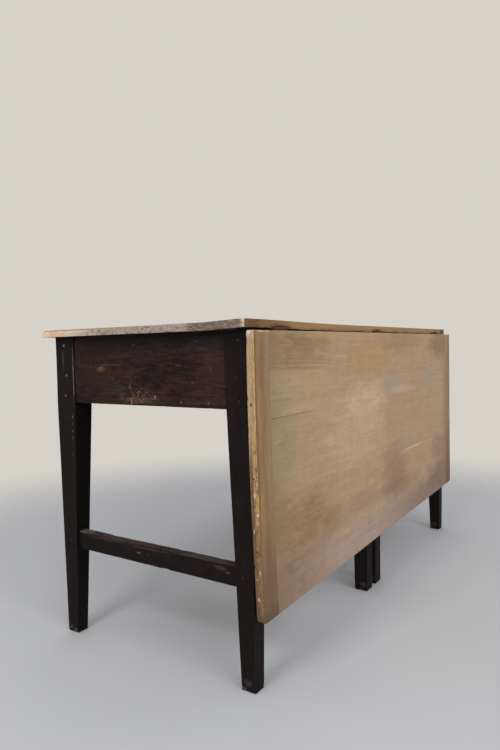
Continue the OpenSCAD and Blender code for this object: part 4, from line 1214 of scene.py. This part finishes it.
def leaf_shape(side=None):
    """The leaf's sloping free edge and, for a cleat, its rounded corner."""
    lower = places_of(frame["nodes"]["leaf_board_lower"].data)
    left_x, right_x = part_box("leaf_cleat_left")[1].x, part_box("leaf_cleat_right")[0].x
    ends = [lower[np.abs(lower[:, 0] - x) < SAME_PLACE][:, 2].min() for x in (left_x, right_x)]
    slope = (ends[1] - ends[0]) / (right_x - left_x)
    top_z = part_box("leaf_board_upper")[1].z

    def edge_z(x):
        return ends[0] + (x - left_x) * slope

    def bend(points, low_z, high_z):
        result = points.copy()
        share = (high_z - points[:, 2]) / (high_z - low_z)
        result[:, 2] = high_z - share * (high_z - edge_z(points[:, 0]))
        return result

    if side is None:
        low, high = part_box("leaf_board_lower")
        return lambda points: bend(points, low.z, high.z)

    low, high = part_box("leaf_cleat_" + side)
    sign = -1 if side == "left" else 1
    end_x = low.x if side == "left" else high.x
    outer = places_of(frame["nodes"]["leaf_cleat_" + side].data)
    arc_z = outer[np.abs(outer[:, 0] - end_x) < SAME_PLACE][:, 2].min()
    radius = arc_z - edge_z(end_x)
    arc_x = end_x - sign * radius

    def shape(points):
        result = bend(points, low.z, top_z)
        out = (result[:, 0] - arc_x) * sign / radius
        down = (edge_z(arc_x) + radius - result[:, 2]) / radius
        inside = (out > 1e-6) & (down > 1e-6)
        pull = np.maximum(out, down)[inside] / np.hypot(out, down)[inside]
        result[inside, 0] = arc_x + sign * radius * out[inside] * pull
        result[inside, 2] = edge_z(arc_x) + radius - radius * down[inside] * pull
        return result

    return shape


class TABLE_OT_leaf(bpy.types.Operator):
    """Make the boards and cleats of the hanging leaf"""

    bl_idname = "table.leaf"
    bl_label = "Leaf"

    def execute(self, context):
        wear, colours = context.scene.table_wear, context.scene.table_colours
        steps = np.array((0.009, 0.0035, 0.0026))
        free = {"upper": "y- y+ z+", "middle": "y- y+", "lower": "y- y+ z-"}
        for number, (place, faces) in enumerate(free.items()):
            node = "leaf_board_" + place
            material = leaf_wood(colours, "scrubbed_" + node, 25.3 + number * 3.3)
            board = worn_wood(
                node, "xzy", faces, wear.board_arris, 201 + number * 5, material,
                steps, shape=leaf_shape() if place == "lower" else None)
            warp(board, twist_leaf)
        for number, (side, outer) in enumerate(zip(SIDES, ("x-", "x+"))):
            node = "leaf_cleat_" + side
            low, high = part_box(node)
            end_x = max(abs(low.x), abs(high.x))
            ochre = 0.9 if side == "left" else 0.55
            material = leaf_cleat_wood("streaked_" + node, 35.7 + number, end_x, low.y, ochre)
            cleat = worn_wood(
                node, "zxy", outer + " y- y+ z- z+", wear.board_arris * 1.5, 221 + number * 5, material,
                np.array((0.0028, 0.0028, 0.006)), shape=leaf_shape(side),
                round_at={"y+": 0.0045, "z+": 0.0060})
            warp(cleat, twist_leaf)
        nails = solid_copy("leaf_cleat_nails")
        nails.name = "warped_leaf_nails"
        warp(nails, twist_leaf)
        dress(nails, ["leaf_cleat_nails"], iron_metal(colours, "leaf_nail_iron"))
        return {"FINISHED"}


class TABLE_OT_hinges(bpy.types.Operator):
    """Finish the hinges, the knuckle pins and the nails"""

    bl_idname = "table.hinges"
    bl_label = "Hinges, pins and nails"

    def execute(self, context):
        colours = context.scene.table_colours
        iron, rusty = iron_metal(colours, "old_iron"), iron_metal(colours, "rusty_nails")
        for name, node in frame["nodes"].items():
            if name == "top_cleat_nails":
                metal = rusty
            elif name.startswith(("hinge_", "knuckle_pin")) and "screws" not in name:
                metal = iron
            else:
                continue
            for slot in node.material_slots:
                slot.material = metal
        return {"FINISHED"}


# ---------------------------------------------------------------- fixings


def islands(node):
    """The lowest and highest corners of each solid in a CAD node, in the order of their
    first vertices."""
    copy = solid_copy(node)
    shell = bmesh.new()
    shell.from_mesh(copy.data)
    known, found = set(), []
    for first in shell.verts:
        if first in known:
            continue
        reached, edge = set(), {first}
        while edge:
            reached |= edge
            edge = {link.other_vert(vert) for vert in edge for link in vert.link_edges} - reached
        known |= reached
        places = np.array([vert.co for vert in reached])
        found.append((places.min(0), places.max(0)))
    shell.free()
    bpy.data.objects.remove(copy)
    return found


def fixing_points(name, node, way_out):
    """A vertex at the mouth of each fixing's hole, with the way that it faces, and the
    length and radius of the fixings. Way_out gives that way from a fixing's middle."""
    lows, highs = (np.array(corners) for corners in zip(*islands(node)))
    middles, sizes = (lows + highs) / 2, highs - lows
    ways = np.array([way_out(middle) for middle in middles])
    mesh = bpy.data.meshes.new(name)
    mesh.from_pydata((middles + ways * sizes / 2).tolist(), [], [])
    facing = mesh.attributes.new("facing", "FLOAT_VECTOR", "POINT")
    facing.data.foreach_set("vector", ways.astype(np.float32).ravel())
    long = int(np.argmax(np.abs(ways[0])))
    return add_object(name, mesh), sizes[0][long], max(np.delete(sizes[0], long)) / 2


class Geometry(Nodes):
    """Builds one geometry node tree with named inputs."""

    def __init__(self, name, inputs):
        super().__init__(bpy.data.node_groups.new(name, "GeometryNodeTree"))
        self.tree.interface.new_socket("Geometry", in_out="INPUT", socket_type="NodeSocketGeometry")
        self.tree.interface.new_socket("Geometry", in_out="OUTPUT", socket_type="NodeSocketGeometry")
        self.named = {}
        for label, kind in inputs.items():
            socket = self.tree.interface.new_socket(label, in_out="INPUT", socket_type=kind)
            self.named[label] = socket.identifier
        self.group = self.tree.nodes.new("NodeGroupInput")

    def input(self, label):
        return Value(self, self.group.outputs[label])

    def moved(self, geometry, z):
        return self.node(
            "GeometryNodeTransform",
            inputs={"Geometry": geometry, "Translation": self.vector(0.0, 0.0, z)})

    def joined(self, *geometries):
        made = self.tree.nodes.new("GeometryNodeJoinGeometry")
        for geometry in geometries:
            self.tree.links.new(geometry.socket, made.inputs[0])
        return Value(self, made.outputs[0])

    def placed(self, fixing):
        """Puts a fixing on each point, turned to face out of its hole and spun at random."""
        facing = self.node(
            "GeometryNodeInputNamedAttribute", {"data_type": "FLOAT_VECTOR"}, {"Name": "facing"})
        aligned = self.node("FunctionNodeAlignRotationToVector", {"axis": "Z"}, {"Vector": facing})
        angle = self.node(
            "FunctionNodeRandomValue", {"data_type": "FLOAT"},
            {2: 0.0, 3: math.tau, "Seed": self.input("Seed")}, output=1)
        spin = self.node(
            "FunctionNodeAxisAngleToRotation", inputs={"Axis": (0.0, 0.0, 1.0), "Angle": angle})
        turned = self.node(
            "FunctionNodeRotateRotation", {"rotation_space": "LOCAL"},
            {"Rotation": aligned, "Rotate By": spin})
        placed = self.node(
            "GeometryNodeInstanceOnPoints",
            inputs={"Points": self.input("Geometry"), "Instance": fixing, "Rotation": turned})
        real = self.node("GeometryNodeRealizeInstances", inputs={"Geometry": placed})
        finished = self.node(
            "GeometryNodeSetMaterial", inputs={"Geometry": real, "Material": self.input("Material")})
        out = self.tree.nodes.new("NodeGroupOutput")
        self.feed(out.inputs["Geometry"], finished)
        return self


def peg_tree():
    """Whittled pegs: many-sided, with a knocked-down end a little proud of the wood."""
    tree = Geometry("Whittled pegs", {
        "Radius": "NodeSocketFloat", "Length": "NodeSocketFloat", "Proud": "NodeSocketFloat",
        "Seed": "NodeSocketInt", "Material": "NodeSocketMaterial",
    })
    radius, long, proud = (tree.input(label) for label in ("Radius", "Length", "Proud"))
    shaft = tree.node("GeometryNodeMeshCone", inputs={
        "Vertices": 11, "Side Segments": 1, "Radius Top": radius, "Radius Bottom": radius * 0.9,
        "Depth": long})
    crown = tree.node("GeometryNodeMeshCone", inputs={
        "Vertices": 11, "Side Segments": 2, "Fill Segments": 3, "Radius Top": radius * 0.72,
        "Radius Bottom": radius, "Depth": proud})
    return tree.placed(tree.joined(tree.moved(shaft, long * -1.0), crown))


def screw_tree():
    """Slotted countersunk screws."""
    tree = Geometry("Slotted screws", {
        "Radius": "NodeSocketFloat", "Length": "NodeSocketFloat", "Shank": "NodeSocketFloat",
        "Head": "NodeSocketFloat", "Seed": "NodeSocketInt", "Material": "NodeSocketMaterial",
    })
    radius, long, shank, head = (
        tree.input(label) for label in ("Radius", "Length", "Shank", "Head"))
    cone = tree.node("GeometryNodeMeshCone", inputs={
        "Vertices": 28, "Radius Top": radius, "Radius Bottom": shank, "Depth": head})
    slot = tree.node("GeometryNodeMeshCube", inputs={
        "Size": tree.vector(radius * 2.4, radius * 0.24, radius * 0.60)})
    slotted = tree.node(
        "GeometryNodeMeshBoolean", {"operation": "DIFFERENCE", "solver": "EXACT"},
        {"Mesh 1": tree.moved(cone, head * -1.0), "Mesh 2": slot})
    pin = tree.node("GeometryNodeMeshCone", inputs={
        "Vertices": 16, "Radius Top": shank, "Radius Bottom": shank * 0.75, "Depth": long - head})
    return tree.placed(tree.joined(slotted, tree.moved(pin, long * -1.0)))


def fixings(node, tree, material, slot, way_out, seed, **sizes):
    """Makes one CAD node's fixings with a geometry node tree. Way_out gives the way out
    of a fixing's hole from its middle."""
    points, long, radius = fixing_points(node + "_made", node, way_out)
    modifier = points.modifiers.new("fixings", "NODES")
    modifier.node_group = tree.tree
    values = {"Radius": radius, "Length": long, "Seed": seed, "Material": material, **sizes}
    for label, value in values.items():
        modifier[tree.named[label]] = value
    mesh = evaluated(points)
    points.modifiers.remove(modifier)
    points.data = mesh
    if not mesh.polygons:
        raise RuntimeError(f"no fixings were made for {node}")
    dress(points, [node], material)


def outward(axis):
    """A way out along an axis, away from the middle of the table."""
    return lambda middle: np.eye(3)[axis] * np.sign(middle)


def always(*way):
    """A way out that is the same for every fixing."""
    return lambda middle: way


class TABLE_OT_pegs(bpy.types.Operator):
    """Make the wooden pegs that hold the tenons"""

    bl_idname = "table.pegs"
    bl_label = "Pegs"

    def execute(self, context):
        tree = peg_tree()
        wood = peg_wood(context.scene.table_colours, "peg_end_grain")
        axes = {
            "end_apron_pegs": 0, "stretcher_pegs": 0, "back_apron_pegs": 1, "front_rail_pegs": 1,
            "fly_rail_pegs_left": 1, "fly_rail_pegs_right": 1,
        }
        for seed, (node, axis) in enumerate(axes.items()):
            fixings(node, tree, wood, "dark_frame", outward(axis), seed, Proud=0.0006)
        return {"FINISHED"}


class TABLE_OT_screws(bpy.types.Operator):
    """Make the slotted screws of the hinges and of the top"""

    bl_idname = "table.screws"
    bl_label = "Screws"

    def execute(self, context):
        tree = screw_tree()
        steel = steel_metal(context.scene.table_colours, "screw_steel")
        down, back = always(0.0, 0.0, -1.0), always(0.0, 1.0, 0.0)
        fixings("hinge_top_screws", tree, steel, "steel_fixings", down, 3, Shank=0.0013, Head=0.0018)
        fixings("hinge_leaf_screws", tree, steel, "steel_fixings", back, 5, Shank=0.0013, Head=0.0018)
        fixings("top_screws", tree, steel, "steel_fixings", down, 7, Shank=0.0022, Head=0.0035)
        return {"FINISHED"}


# ---------------------------------------------------------------- stage


# Each lamp's name, its place, the point that it faces, and its width and height
LAMPS = (
    ("key", (-2.3, -5.0, 3.8), (0.0, -0.2, 0.4), 4.2),
    ("side", (-3.1, -0.1, 2.5), (-0.6, 0.0, 0.3), 1.0),
)

# Half the floor's width, and the distances from its middle between which it turns into
# the backdrop
FLOOR_REACH = 30.0
FLOOR_FADE = (1.15, 2.3)


class TABLE_OT_stage(bpy.types.Operator):
    """Set up the floor, the soft lights and the camera"""

    bl_idname = "table.stage"
    bl_label = "Stage"

    def execute(self, context):
        stage = context.scene.table_stage
        self.make_floor(stage)
        self.make_world(context.scene, stage)
        for name, place, target, size in LAMPS:
            self.make_lamp(name, place, target, size, getattr(stage, name))
        self.make_camera(context.scene, stage)
        context.scene.view_settings.view_transform = "Standard"
        return {"FINISHED"}

    def make_floor(self, stage):
        corners = np.array([(-1, -1, 0), (1, -1, 0), (1, 1, 0), (-1, 1, 0)])
        floor = new_piece("floor", corners * FLOOR_REACH, np.array([(0, 1, 2, 3)]))
        shader = Shader("pale_floor")
        x, y, _ = shader.place()
        far = ((x * x + y * y) ** 0.5).step(*FLOOR_FADE)
        clouds = shader.noise((x * 1.5, y * 1.5, 0.0), 2.0)
        tone = shader.shade(tuple(stage.floor), 0.97 + clouds * 0.06)
        lit = shader.node("ShaderNodeBsdfPrincipled", inputs={"Base Color": tone, "Roughness": 0.7})
        plain = shader.node("ShaderNodeEmission", inputs={"Color": tuple(stage.backdrop)})
        blend = shader.node("ShaderNodeMixShader", inputs={0: far, 1: lit, 2: plain})
        out = shader.tree.nodes.new("ShaderNodeOutputMaterial")
        shader.feed(out.inputs["Surface"], blend)
        floor.data.materials.append(shader.material)

    def make_world(self, scene, stage):
        world = bpy.data.worlds.new("soft_light")
        world.use_nodes = True
        nodes = Nodes(world.node_tree)
        nodes.tree.nodes.clear()
        seen = nodes.node("ShaderNodeLightPath", output="Is Camera Ray")
        soft = nodes.node("ShaderNodeBackground", inputs={"Color": (1, 1, 1), "Strength": stage.sky})
        plain = nodes.node("ShaderNodeBackground", inputs={"Color": tuple(stage.backdrop)})
        blend = nodes.node("ShaderNodeMixShader", inputs={0: seen, 1: soft, 2: plain})
        out = nodes.tree.nodes.new("ShaderNodeOutputWorld")
        nodes.feed(out.inputs["Surface"], blend)
        scene.world = world

    def make_lamp(self, name, place, target, size, power):
        light = bpy.data.lights.new(name, "AREA")
        light.shape = "SQUARE"
        light.size = size
        light.energy = power
        turn = (Vector(target) - Vector(place)).to_track_quat("-Z", "Y").to_matrix().to_4x4()
        add_object(name, light).matrix_world = Matrix.Translation(place) @ turn

    def make_camera(self, scene, stage):
        lens = bpy.data.cameras.new("camera")
        lens.lens = stage.lens
        camera = add_object("camera", lens)
        ahead = Vector((
            math.cos(stage.yaw) * math.cos(stage.pitch),
            math.sin(stage.yaw) * math.cos(stage.pitch),
            -math.sin(stage.pitch),
        ))
        level = ahead.cross((0, 0, 1)).normalized()
        upright = level.cross(ahead)
        right = math.cos(stage.roll) * level + math.sin(stage.roll) * upright
        up = math.cos(stage.roll) * upright - math.sin(stage.roll) * level
        turn = Matrix((right, up, -ahead)).transposed().to_4x4()
        camera.matrix_world = Matrix.Translation(stage.camera_place) @ turn
        scene.camera = camera


class TABLE_PT_sidebar(bpy.types.Panel):
    """Lists the pieces of the table and its settings"""

    bl_label = "Drop leaf table"
    bl_idname = "TABLE_PT_sidebar"
    bl_space_type = "VIEW_3D"
    bl_region_type = "UI"
    bl_category = "Table"

    def draw(self, context):
        for operator in OPERATORS:
            self.layout.operator(operator.bl_idname)
        for group in (context.scene.table_wear, context.scene.table_colours, context.scene.table_stage):
            box = self.layout.box()
            for name in group.__annotations__:
                box.prop(group, name)


SETTINGS = {"table_wear": TableWear, "table_colours": TableColours, "table_stage": TableStage}
OPERATORS = (
    TABLE_OT_corner_legs,
    TABLE_OT_aprons,
    TABLE_OT_stretchers,
    TABLE_OT_gates,
    TABLE_OT_top,
    TABLE_OT_leaf,
    TABLE_OT_hinges,
    TABLE_OT_pegs,
    TABLE_OT_screws,
    TABLE_OT_stage,
)


def register():
    for group in SETTINGS.values():
        bpy.utils.register_class(group)
    for operator in OPERATORS:
        bpy.utils.register_class(operator)
    bpy.utils.register_class(TABLE_PT_sidebar)
    for name, group in SETTINGS.items():
        setattr(bpy.types.Scene, name, PointerProperty(type=group))


def unregister():
    for name in SETTINGS:
        delattr(bpy.types.Scene, name)
    bpy.utils.unregister_class(TABLE_PT_sidebar)
    for operator in reversed(OPERATORS):
        bpy.utils.unregister_class(operator)
    for group in reversed(SETTINGS.values()):
        bpy.utils.unregister_class(group)


def main():
    register()
    bpy.ops.table.corner_legs()
    bpy.ops.table.aprons()
    bpy.ops.table.stretchers()
    bpy.ops.table.gates()
    bpy.ops.table.top()
    bpy.ops.table.leaf()
    bpy.ops.table.hinges()
    bpy.ops.table.pegs()
    bpy.ops.table.screws()
    bpy.ops.table.stage()


if __name__ == "__main__":
    main()
